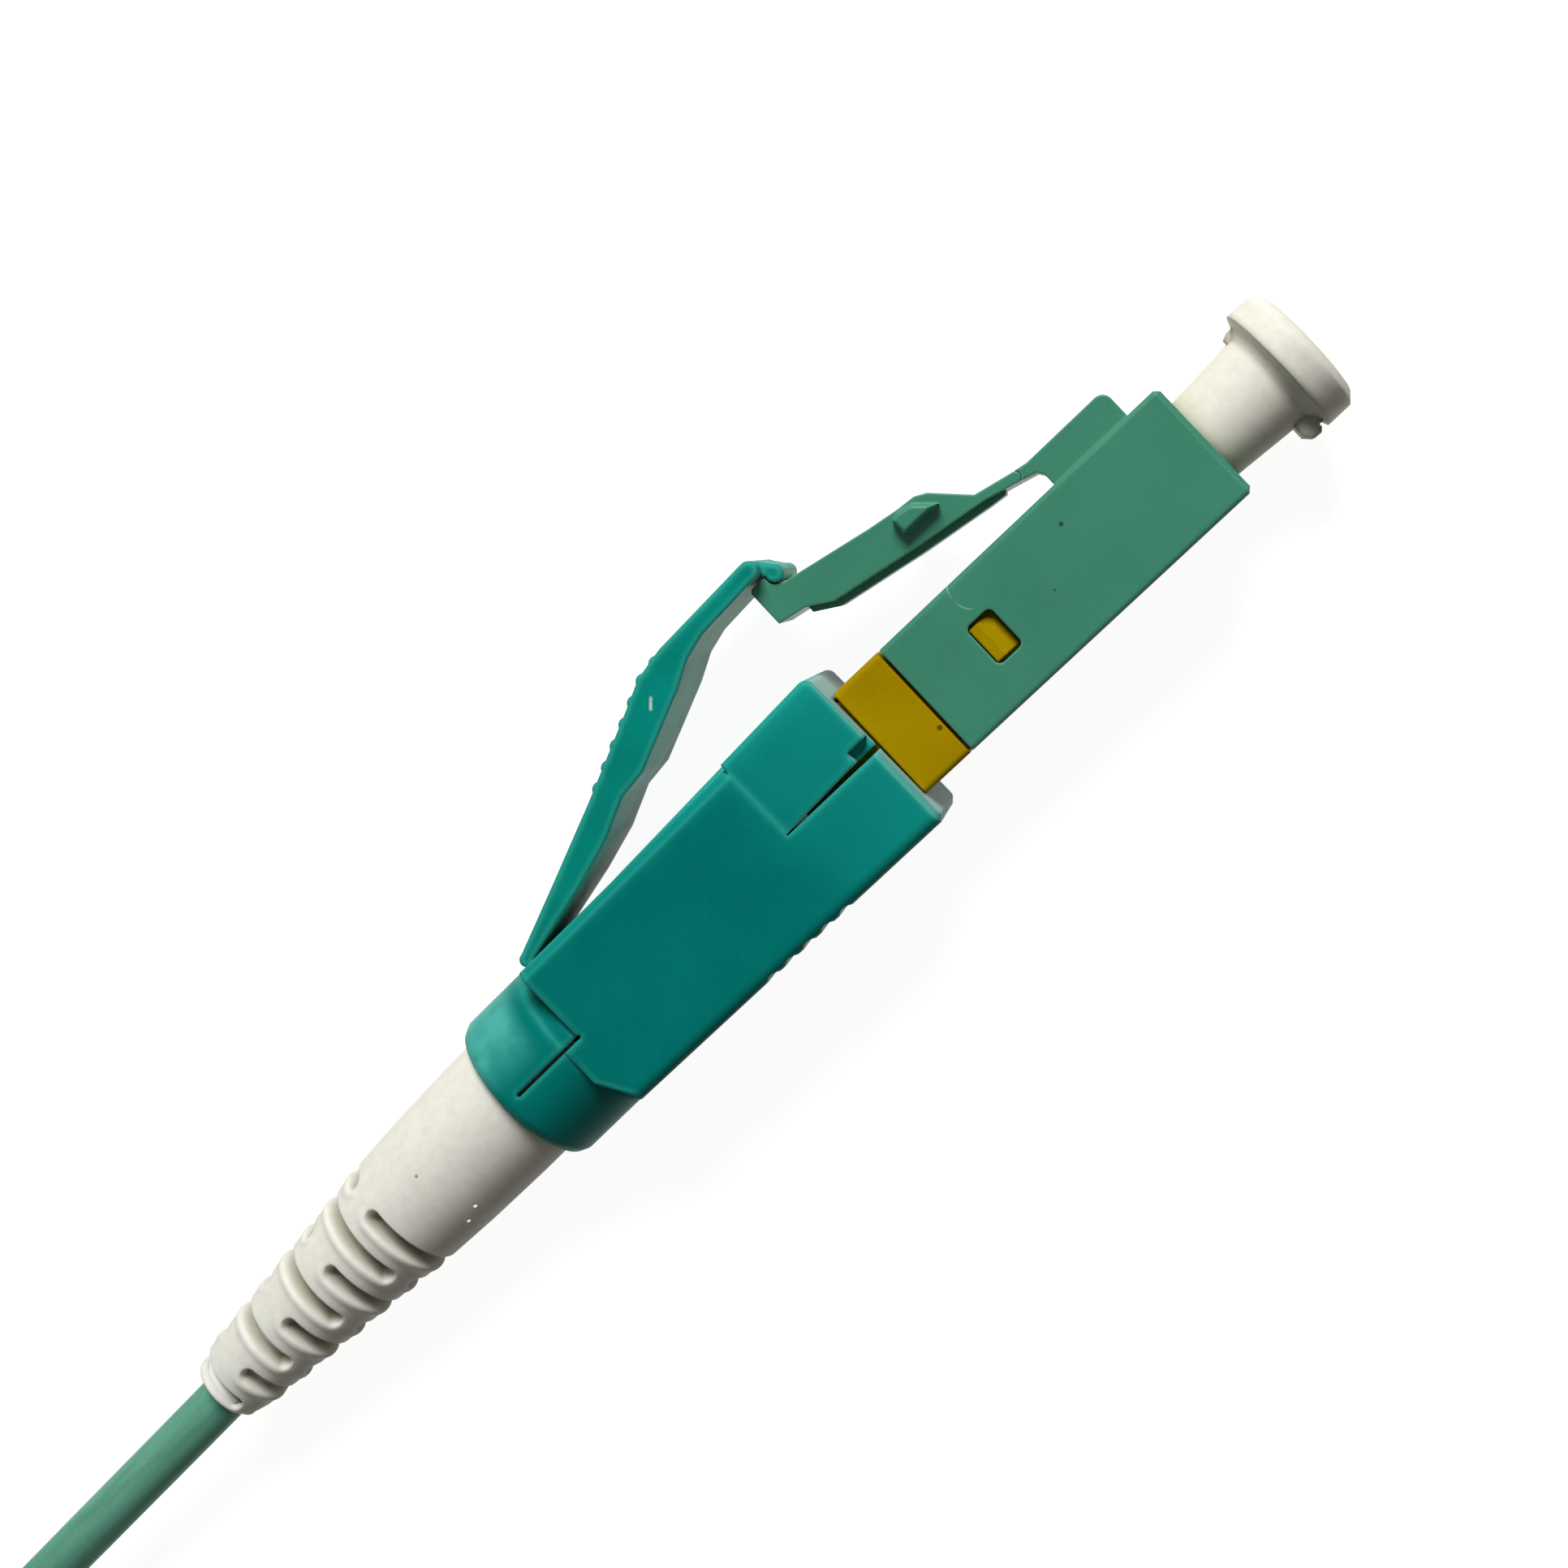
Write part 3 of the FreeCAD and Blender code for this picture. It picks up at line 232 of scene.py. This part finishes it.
class Graph:
    """A tree of nodes that ends in one shader: a material's, or the world's."""

    def __init__(self, tree, shader):
        self.tree, self.shader = tree, tree.nodes[shader]

    def constants(self, values):
        """Fixed values go straight onto the shader's own sockets."""
        for socket, value in values.items():
            self.shader.inputs[socket].default_value = value

    def feed(self, socket, value):
        self.tree.links.new(value.socket, self.shader.inputs[socket])

    def node(self, kind, settings, inputs):
        made = self.tree.nodes.new(kind)
        for key, value in settings.items():
            setattr(made, key, value)
        for key, value in inputs.items():
            if isinstance(value, Wire):
                self.tree.links.new(value.socket, made.inputs[key])
            else:
                made.inputs[key].default_value = value
        named = {s.name: Wire(self, s) for s in made.outputs if s.enabled}
        return {**named, **{n: Wire(self, s) for n, s in enumerate(made.outputs)}}

    def vector(self, operation, first, second=None, scale=None):
        inputs = {0: first}
        if second is not None:
            inputs[1] = second
        if scale is not None:
            inputs["Scale"] = scale
        made = self.node("ShaderNodeVectorMath", {"operation": operation}, inputs)
        return made["Value" if operation in ("DISTANCE", "DOT_PRODUCT") else "Vector"]

    def mix(self, first, second, factor):
        """Two colours mixed; of the node's many sockets, 6 and 7 take them and 2 gives one."""
        return self.node("ShaderNodeMix", {"data_type": "RGBA"},
                         {0: factor, 6: first, 7: second})[2]

    def clamp(self, value):
        return self.node("ShaderNodeClamp", {}, {"Value": value})["Result"]


class Finish(Graph):
    """One procedural material."""

    def __init__(self, name, values):
        self.material = bpy.data.materials.new(name)
        self.material.use_nodes = True
        super().__init__(self.material.node_tree, "Principled BSDF")
        self.constants(values)
        self.rounded = None
        spot = self.node("ShaderNodeTexCoord", {}, {})["Object"]
        self.place = self.vector("SCALE", spot, scale=1 / MM)

    def noise(self, scale, detail=2.0, rough=0.5, where=None):
        return self.node("ShaderNodeTexNoise", {"noise_dimensions": "3D"},
                         {"Vector": where or self.place, "Scale": scale, "Detail": detail,
                          "Roughness": rough})["Fac"]

    def ramp(self, value, low, high, to_low=0.0, to_high=1.0):
        return self.node("ShaderNodeMapRange", {"interpolation_type": "SMOOTHSTEP"},
                         {"Value": value, "From Min": low, "From Max": high,
                          "To Min": to_low, "To Max": to_high})["Result"]

    def fall(self, value, low, high):
        """1 below low and 0 above high."""
        return self.ramp(value, low, high, 1.0, 0.0)

    def axes(self, where=None):
        made = self.node("ShaderNodeSeparateXYZ", {}, {0: where or self.place})
        return made["X"], made["Y"], made["Z"]

    def speck(self, x, y, z, size):
        """A round mask about a point of the connector, all in millimetres."""
        away = self.vector("DISTANCE", self.place, (x, y, z))
        return self.fall(away, size * SPECK_CORE, size)

    def stain(self, colour, mask):
        """Lay a paint over the colour so far, where the mask is 1."""
        self.colour = self.mix(self.colour, paint(*colour), mask)

    def soften(self, radius, wide):
        """Round the look of every edge, and keep a wider mask that is 1 on the edges, for
        painted highlights.
        """
        def bent(size):
            made = self.node("ShaderNodeBevel", {"samples": BEVEL_SAMPLES},
                             {"Radius": size * MM})
            return made["Normal"]
        self.rounded = bent(radius)
        self.flat = self.node("ShaderNodeNewGeometry", {}, {})["Normal"]
        self.edge = self.fall(self.vector("DOT_PRODUCT", bent(wide), self.flat), *EDGE_TURN)

    def hollow(self, reach, low, high):
        """A mask that is 1 deep in corners and grooves, for painted shade; reach is in
        millimetres.
        """
        seen = self.node("ShaderNodeAmbientOcclusion", {"samples": HOLLOW_SAMPLES},
                         {"Distance": reach * MM})
        return self.fall(seen["AO"], low, high)

    def grain(self, height, depth):
        """Bump from a height; depth is in millimetres."""
        inputs = {"Height": height, "Strength": 1.0, "Distance": depth * MM}
        if self.rounded:
            inputs["Normal"] = self.rounded
        self.feed("Normal", self.node("ShaderNodeBump", {}, inputs)["Normal"])


def dress(node, finish):
    for slot in nodes[node].material_slots:
        slot.material = finish.material
    print(node, "wears", finish.material.name)


# %% [markdown]
# ## Moulded plastic
# The hard pieces are injection moulded in coloured plastic.  A flat colour would look like
# paint, because real pigment is a little cloudy, the mould's skin shines unevenly and has a
# grain much finer than a hair.  Two noises make the clouds, one the gloss and one the grain.

# %% A recipe for moulded plastic
def moulded(name, colour, deep, gloss=0.42, cloud=0.35, shine=0.3, grain=0.004,
            soft=0.0, wide=0.0):
    """A plastic whose colour wanders from one tone to a deeper one."""
    finish = Finish(name, {"Specular IOR Level": shine, "IOR": 1.5})
    if soft:
        finish.soften(soft, wide or soft)
    clouds, fine = finish.noise(cloud, 3.0), finish.noise(7.0, 2.0, 0.6)
    tone = finish.ramp(clouds * 0.7 + fine * 0.3, 0.3, 0.7)
    finish.colour = finish.mix(paint(*colour), paint(*deep), tone)
    finish.feed("Roughness", finish.noise(1.1, 2.0) * 0.16 + (gloss - 0.08))
    finish.grain(fine, grain)
    return finish


# %% [markdown]
# ## The plug's green
# The housing and its latch are a greyed sea green.  The housing has two dark specks of dirt
# on its flank and a hair-thin curved scratch beside the window, which tell that it has been
# handled.  A speck is the distance from a point; the scratch is the distance from a circle.

# %% Housing and latch
FLANK = 2.25  # half of the housing's width
# The hair scratch: its circle, its width, where it starts and ends along the housing, and
# how far across it the circle is cut off.
HAIR_AT, HAIR_ROUND, HAIR_WIDE = (-8.5, 1.75, FLANK), 0.85, (0.012, 0.04)
HAIR_FROM, HAIR_TO, HAIR_ABOVE = (-9.36, -9.3), (-9.1, -9.0), (1.1, 1.2)
housing = moulded("housing_green", (65, 142, 115), (58, 134, 107), gloss=0.36, shine=0.25,
                  soft=0.12)
# painted highlight: the rounded edges are made lighter, as if the light caught their curve
housing.stain((118, 190, 168), housing.edge * 0.45)
dirt = (housing.speck(-5.14, 1.17, FLANK, 0.1) * 0.9
        + housing.speck(-6.73, -0.25, FLANK, 0.06) * 0.7)
housing.stain((28, 50, 40), dirt)
ring = abs(housing.vector("DISTANCE", housing.place, HAIR_AT) - HAIR_ROUND)
along, across, _ = housing.axes()
hair = (housing.fall(ring, *HAIR_WIDE) * housing.ramp(along, *HAIR_FROM)
        * housing.ramp(across, *HAIR_ABOVE) * housing.fall(along, *HAIR_TO))
housing.stain((135, 190, 170), hair * 0.7)
housing.feed("Base Color", housing.colour)
for node in ("plug_housing", "latch_arm"):
    dress(node, housing)

# %% [markdown]
# ## The spine under the latch
# The latch is thin, so its mould leaves a narrow spine along its underside to stiffen it.
# It is a short prism: its outline follows the arm from the flexing line to the tip.  It
# bends with the latch, so it rides on the latch's body and wears the housing's green.

# %% Latch spine
# The latch's flexing line, and how far its arm runs back and rises from there.  The spine's
# points are shares of these two lengths.
FLEX_X, FLEX_Y, ARM_LONG, ARM_RISE = -5.2, 3.32, 8.92, 3.34
SPINE_DEEP, SPINE_SUNK, SPINE_HALF = 0.24, 0.08, 0.7
UNDERSIDE = [(0.03, 0.01), (0.07, 0.02), (0.141, 0.042), (0.437, 0.168), (0.796, 0.35),
             (0.888, 0.5)]


def prism(name, outline, half):
    """A closed solid: an outline in X and Y, given in millimetres, as thick as 2 * half."""
    count = len(outline)
    points = [Vector((x, y, side * half)) * MM for side in (-1, 1) for x, y in outline]
    faces = [tuple(range(count))[::-1], tuple(range(count, 2 * count))]
    faces += [(k, (k + 1) % count, count + (k + 1) % count, count + k) for k in range(count)]
    return shaped(name, points, faces)


under = [(FLEX_X - ARM_LONG * share, FLEX_Y + ARM_RISE * rise) for share, rise in UNDERSIDE]
spine = prism("latch_spine", [(x, y + SPINE_SUNK) for x, y in under]
              + [(x, y - SPINE_DEEP) for x, y in under[:0:-1]], SPINE_HALF)
spine.data.materials.append(housing.material)
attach(spine, "latch")
print("latch spine faces:", len(spine.data.polygons))

# %% [markdown]
# ## The clip's teal
# The clip and its trigger are a deeper teal.  Their thin walls get a painted glow, lighter
# than the broad flank, in place of light shining through the plastic.  The glow follows the
# height across the clip and the distance from its front, which is where the walls are thin.

# %% Clip and trigger
CLIP_AT, CLIP_TILT = -14.42, math.radians(1.1)
# Each pair of numbers is where a mask starts and where it is full: across the clip for its
# thin wall and the ring's lit side, and along it for the rest.
WALL_FROM, WALL_TO = (2.2, 3.3), (3.4, 3.6)
SHOULDER, MOUTH, MOUTH_FACE = (-19.4, -17.4), (-17.5, -14.6), (-15.4, -15.2)
RING_FROM, RING_SIDE = (-30.4, -29.6), (0.2, 2.0)
clip = moulded("clip_teal", (2, 132, 124), (0, 121, 113), gloss=0.4, shine=0.05,
               soft=0.25, wide=0.5)
turned = clip.node("ShaderNodeVectorRotate", {"rotation_type": "Z_AXIS"},
                   {"Vector": clip.place, "Center": (CLIP_AT, 0, 0), "Angle": -CLIP_TILT})
along, across, _ = clip.axes(turned["Vector"])
# painted glow: the thin top wall and the front part are made lighter, in place of light
# shining through
thin = clip.ramp(across, *WALL_FROM) * clip.fall(across, *WALL_TO)
front = clip.ramp(along, *SHOULDER, 0.0, 0.45) + clip.ramp(along, *MOUTH, 0.0, 0.25)
clip.stain((24, 170, 156), clip.clamp(thin * 0.4 + front * 0.7))
# painted highlight on the ring's lit side, mottled by a noise
ring_lit_side_highlight = (clip.fall(along, *RING_FROM) * clip.ramp(across, *RING_SIDE)
         * clip.ramp(clip.noise(0.9, 3.0), 0.3, 0.62, 0.6, 1.0))
clip.stain((76, 182, 170), ring_lit_side_highlight)
# painted highlight along the edges
clip.stain((56, 184, 170), clip.edge * 0.75)
# painted highlight: faces turned to the front, towards the lamp's side, are painted pale grey
front_face_highlight = clip.ramp(clip.axes(clip.flat)[0], 0.6, 0.9)
clip.stain((170, 206, 202), front_face_highlight * clip.ramp(along, *MOUTH_FACE) * 0.8)
clip.feed("Base Color", clip.colour)
dress("clip_shell", clip)

SCRATCH_LINE, SCRATCH_MIDDLE = 25.2, 12.8  # x - y and x + y at the scratch, less their sign
trigger = moulded("trigger_teal", (4, 150, 136), (2, 136, 122), gloss=0.4, shine=0.06,
                  cloud=0.6, soft=0.25, wide=0.5)
# painted reflection: faces turned towards -Y are painted pale, as if they reflected the white
# table
trigger.stain((190, 222, 208), trigger.fall(trigger.axes(trigger.flat)[1], -0.75, -0.45))
# painted highlight along the edges
trigger.stain((66, 190, 172), trigger.edge * 0.7)
x, y, _ = trigger.axes()
from_line, from_middle = abs(x - y + SCRATCH_LINE), abs(x + y + SCRATCH_MIDDLE)
scratch = (trigger.fall(from_line, 0.05, 0.1) * trigger.fall(from_middle, 0.25, 0.4)
           * trigger.ramp(trigger.noise(6.0), 0.35, 0.45))
trigger.stain((190, 220, 215), scratch)
trigger.feed("Base Color", trigger.colour)
dress("trigger", trigger)

# %% [markdown]
# ## Yellow inner body
# The block between housing and clip belongs to the yellow inner body.  It is the same kind
# of plastic, glossier, with one dark speck near its front edge.

# %% Inner body
yellow = moulded("yellow_plastic", (181, 149, 0), (167, 137, 0), gloss=0.34, shine=0.04,
                 soft=0.12)
yellow.stain((70, 55, 10), yellow.speck(-12.51, -0.96, FLANK, 0.12) * 0.8)
yellow.feed("Base Color", yellow.colour)
dress("inner_body", yellow)

# %% [markdown]
# ## Small hidden pieces
# The ferrule is polished zirconia, the flange, spring and crimp sleeve are plated metal,
# the fibre is glass, and the yarn that holds the cord is pale gold.  They hardly show, but
# each gets a surface of its own with a trace of turning marks, streaks or strands.

# %% Ferrule, metal, glass, yarn, buffer, tie
def plain(name, colour, deep, scale, constants, rough, stretch=(1.0, 1.0, 1.0), grain=0.002):
    finish = Finish(name, constants)
    drawn = finish.vector("MULTIPLY", finish.place, stretch)
    streak = finish.noise(scale, 3.0, 0.6, drawn)
    finish.feed("Base Color", finish.mix(paint(*colour), paint(*deep), streak))
    finish.feed("Roughness", streak * 0.15 + rough)
    finish.grain(streak, grain)
    return finish


zirconia = plain("zirconia", (238, 236, 228), (224, 222, 214), 3.0, {}, 0.12)
plated = plain("nickel_plate", (196, 192, 182), (168, 164, 156), 2.0, {"Metallic": 1.0}, 0.22,
               (8.0, 1.0, 1.0))
steel = plain("spring_steel", (178, 176, 172), (148, 146, 142), 5.0, {"Metallic": 1.0}, 0.25)
glass = plain("fibre_glass", (235, 240, 242), (222, 230, 234), 6.0, {}, 0.08)
yarn = plain("yarn", (222, 192, 92), (186, 150, 58), 5.0, {}, 0.6, (0.3, 2.0, 2.0), 0.02)
buffer = plain("buffer_plastic", (226, 228, 224), (210, 214, 208), 2.0, {}, 0.4)
tie = plain("tie_plastic", (236, 236, 232), (220, 220, 214), 1.5, {}, 0.45)
for node, finish in (("ferrule", zirconia), ("ferrule_flange", plated), ("spring", steel),
                     ("crimp_sleeve", plated), ("optical_fibre", glass), ("aramid_yarn", yarn),
                     ("tight_buffer", buffer), ("coil_tie", tie)):
    dress(node, finish)

# %% [markdown]
# ## The dust cap
# The cap is a soft, slightly waxy off-white plastic.  It scatters light inside, so its
# shadows are warm and never quite black; a little subsurface scattering does that, and its
# hollows get a painted olive shade.

# %% Dust cap
cap = moulded("cap_white", (246, 243, 231), (238, 234, 220), gloss=0.45, shine=0.2,
              cloud=2.5, soft=0.4)
cap.constants({"Subsurface Weight": 0.15, "Subsurface Radius": (1.0, 0.7, 0.5),
               "Subsurface Scale": 0.0006})
# painted shade: an olive tint deep in the corners and hollows
cap.stain((186, 180, 146), cap.hollow(1.6, 0.45, 0.95) * 0.7)
cap.feed("Base Color", cap.colour)
dress("dust_cap", cap)

# %% [markdown]
# ## The cord's jacket
# The jacket is extruded, so its faint streaks run along it.  Noise that is stretched along
# the connector's length does this on the straight stretch that shows.

# %% Jacket
jacket = Finish("jacket_green", {"Specular IOR Level": 0.15})
drawn = jacket.vector("MULTIPLY", jacket.place, (0.12, 1.5, 1.5))
streak = jacket.noise(2.0, 3.0, 0.55, drawn)
dots = jacket.noise(9.0, 2.0, 0.6)
jacket.feed("Base Color", jacket.mix(paint(112, 178, 153), paint(92, 158, 133),
                                     jacket.ramp(streak * 0.7 + dots * 0.3, 0.3, 0.7)))
jacket.feed("Roughness", streak * 0.2 + 0.4)
jacket.grain(streak * 0.6 + dots * 0.4, 0.008)
cord.data.materials.append(jacket.material)

# %% [markdown]
# ## The boot
# The boot is a soft sleeve that stops the cord from kinking.  Its far half has two rows of
# curved slots, each level a pair, and the rows stand a quarter turn apart.  Cutting them
# with booleans leaves knife edges, but soft rubber is rounded everywhere.  So the boot is
# one grid wrapped round the axis, and each point sinks by a smooth function of its distance
# from the nearest slot.  Where a slot comes down to the cord, the grid is left open.

# %% The boot's outline and slots
BOOT_FRONT = Vector((-32.267, -0.343, 0.0))
BOOT_TILT = math.radians(1.8)
BOOT_LONG, BORE = 16.1, 1.15
OUTLINE = [(-3.4, 2.5), (0.0, 2.52), (1.5, 2.515), (4.13, 2.45), (6.33, 2.33), (8.53, 2.1),
           (10.83, 1.92), (13.08, 1.71), (14.9, 1.55), (15.55, 1.47), (15.9, 1.36),
           (16.05, 1.26), (16.1, 1.17)]
LEVELS, SLOT_FIRST, SLOT_SHIFT, SLOT_PITCH = 4, 6.38, 1.3, 2.63
ROWS = ((143.5, 72.5, 7.3), (53.5, 75.5, 2.3))  # lean, half length and its loss by level
SLOTS = [(SLOT_FIRST + SLOT_SHIFT * row + SLOT_PITCH * level, math.radians(lean),
          math.radians(half - less * level))
         for row, (lean, half, less) in enumerate(ROWS) for level in range(LEVELS)]
# A slot: how far it has any effect, its flat floor, its half width and how much wider that is
# on the far side, and its round end.  Then its raised lip, its depth and the least radius of
# its floor and of any point outside, and where the last slot is open.
SLOT_REACH, SLOT_FLAT, SLOT_WIDE, SLOT_SLANT, SLOT_END = 1.6, 0.1, 0.33, 0.12, 0.2
LIP_HIGH, LIP_AWAY, LIP_SPREAD = 0.06, 0.55, 0.16
SLOT_DEEP, FLOOR_LEAST, OUTSIDE_LEAST = 0.75, 1.06, 1.05
OPEN_BEHIND, OPEN_WITHIN = 15.0, 0.22
TINY = 0.01


def smooth(low, high, value):
    share = min(1.0, max(0.0, (value - low) / (high - low)))
    return share * share * (3 - 2 * share)


def outline_at(back):
    """Radius of the plain boot at a distance behind the ring."""
    for (b0, r0), (b1, r1) in zip(OUTLINE, OUTLINE[1:]):
        if back <= b1:
            return r0 + (r1 - r0) * (back - b0) / (b1 - b0)
    return OUTLINE[-1][1]


def groove(back, angle, radius):
    """How far down a slot a point lies, its distance from a slot's middle, and its lip."""
    down, nearest, crest = 0.0, math.inf, 0.0
    for middle, lean, half in SLOTS:
        gap = back - middle
        if abs(gap) > SLOT_REACH:
            continue
        off = abs((angle - lean + math.pi / 2) % math.pi - math.pi / 2)
        beyond = max(0.0, (off - half) * radius + SLOT_END)
        away = math.hypot(gap, beyond)
        behind = gap / max(away, TINY)
        down = max(down, 1 - smooth(SLOT_FLAT, SLOT_WIDE + SLOT_SLANT * behind, away))
        bell = math.exp(-((away - LIP_AWAY) / LIP_SPREAD) ** 2)
        crest = max(crest, LIP_HIGH * max(behind, 0.0) * bell)
        nearest = min(nearest, away)
    return down, nearest, crest


print("slots:", 2 * len(SLOTS))

# %% The boot's mesh
AROUND = 360
IN_THE_RING, IN_THE_BORE = [-3.4, -2.0, -1.0], [12.0, 4.0]
COARSE, FINE, FINE_FROM = 0.3, 0.05, 5.4


def boot_mesh(name):
    """The boot as one grid: rings from its front end to its mouth, then back up its bore."""
    stations = IN_THE_RING + [COARSE * k for k in range(round(FINE_FROM / COARSE))]
    stations += [FINE_FROM + FINE * k for k in range(int((BOOT_LONG - FINE_FROM) / FINE) + 1)]
    stations += [BOOT_LONG]
    turn = Matrix.Rotation(BOOT_TILT, 3, "Z")
    points, rows, open_spots = [], [], set()

    def add(back, radius, angle):
        local = Vector((-back, radius * math.cos(angle), radius * math.sin(angle)))
        points.append((BOOT_FRONT + turn @ local) * MM)
        return len(points) - 1

    for back in stations:
        radius = outline_at(back)
        floor = max(radius - SLOT_DEEP, FLOOR_LEAST)
        row = []
        for k in range(AROUND):
            angle = 2 * math.pi * k / AROUND
            down, away, crest = groove(back, angle, radius)
            sink = (radius - floor) * down - crest
            row.append(add(back, max(radius - sink, OUTSIDE_LEAST), angle))
            if back > OPEN_BEHIND and away < OPEN_WITHIN:
                open_spots.add(row[-1])
        rows.append(row)
    for back in [BOOT_LONG] + IN_THE_BORE:
        rows.append([add(back, BORE, 2 * math.pi * k / AROUND) for k in range(AROUND)])
    faces = []
    for one, two in zip(rows, rows[1:]):
        for k in range(AROUND):
            n = (k + 1) % AROUND
            quad = (one[k], one[n], two[n], two[k])
            if not open_spots.intersection(quad):
                faces.append(quad)
    item = shaped(name, points, faces)
    item.data.polygons.foreach_set("use_smooth", [True] * len(faces))
    return item


boot = boot_mesh("boot_sleeve")
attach(boot, "connector")
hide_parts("boot")
print("boot faces:", len(boot.data.polygons))

# %% [markdown]
# ## Boot rubber
# The boot is a warm white elastomer: matt, a little translucent, with a faint mottling.
# One dark speck and two tiny glints sit on its smooth front part, and its slots and hollows
# get a painted olive shade.

# %% Boot finish
rubber = moulded("boot_rubber", (251, 249, 239), (243, 240, 227), gloss=0.5, cloud=2.5,
                 shine=0.25, grain=0.006)
rubber.constants({"Subsurface Weight": 0.25, "Subsurface Radius": (1.0, 0.75, 0.5),
                  "Subsurface Scale": 0.0007})
rubber.stain((120, 112, 95), rubber.speck(-36.42, 0.06, 2.45, 0.11) * 0.8)
# painted shade: an olive tint on the slot floors and in other hollows
rubber.stain((146, 140, 112), rubber.hollow(0.7, 0.3, 0.85) * 0.75)
glints = (rubber.speck(-35.81, -2.1, 1.83, 0.085) * 0.9
          + rubber.speck(-36.46, -2.33, 1.59, 0.085) * 0.8)
rubber.stain((255, 255, 255), glints)
rubber.feed("Metallic", glints)
rubber.feed("Base Color", rubber.colour)
boot.data.materials.append(rubber.material)

# %% [markdown]
# ## Table, light and backdrop
# The connector lies on a plain white table.  One large soft lamp stands on the latch side,
# so the flanks that face it are bright and the far side falls into shade.  The table is
# lifted to white for the camera, and for reflections, so that it is a clean background that
# still keeps a soft shadow.

# %% Table
def white_for_camera(graph):
    """1 where the camera, a reflection or a see-through ray looks, else 0."""
    path = graph.node("ShaderNodeLightPath", {}, {})
    seen = path["Is Camera Ray"] + path["Is Glossy Ray"] + path["Is Transmission Ray"]
    return graph.clamp(seen)


TABLE_SIZE, TABLE_GAP = 1.5, 0.00002
bpy.ops.mesh.primitive_plane_add(size=TABLE_SIZE,
                                 location=(MIDDLE.x, MIDDLE.y, TABLE - TABLE_GAP))
table = bpy.context.object
table.name = "table"
paper = Finish("table_white", {"Specular IOR Level": 0.0, "Roughness": 0.9,
                               "Emission Strength": 1.0})
paper.feed("Base Color", paper.mix(paint(168, 163, 148), paint(162, 157, 142),
                                   paper.noise(0.2)))
paper.feed("Emission Color", paper.mix(paint(0, 0, 0), paint(248, 248, 248),
                                       white_for_camera(paper)))
table.data.materials.append(paper.material)

# %% Lamp and world
LAMP_AT, LAMP_SIZE, LAMP_WATTS = Vector((0.11, 0.18, 0.186)), 0.14, 0.88
DIM, WHITE = (0.05, 0.05, 0.05, 1), (1, 1, 1, 1)
light = bpy.data.lights.new("key", "AREA")
light.shape, light.size, light.energy = "DISK", LAMP_SIZE, LAMP_WATTS
lamp = show("key", light)
lamp.location = LAMP_AT
lamp.rotation_euler = (MIDDLE - LAMP_AT).to_track_quat("-Z", "Y").to_euler()
world = bpy.data.worlds.new("room")
bpy.context.scene.world = world
world.use_nodes = True
sky = Graph(world.node_tree, "Background")
sky.feed("Color", sky.mix(DIM, WHITE, white_for_camera(sky)))
bpy.context.scene.view_settings.view_transform = "Standard"
print("key lamp and world are set")
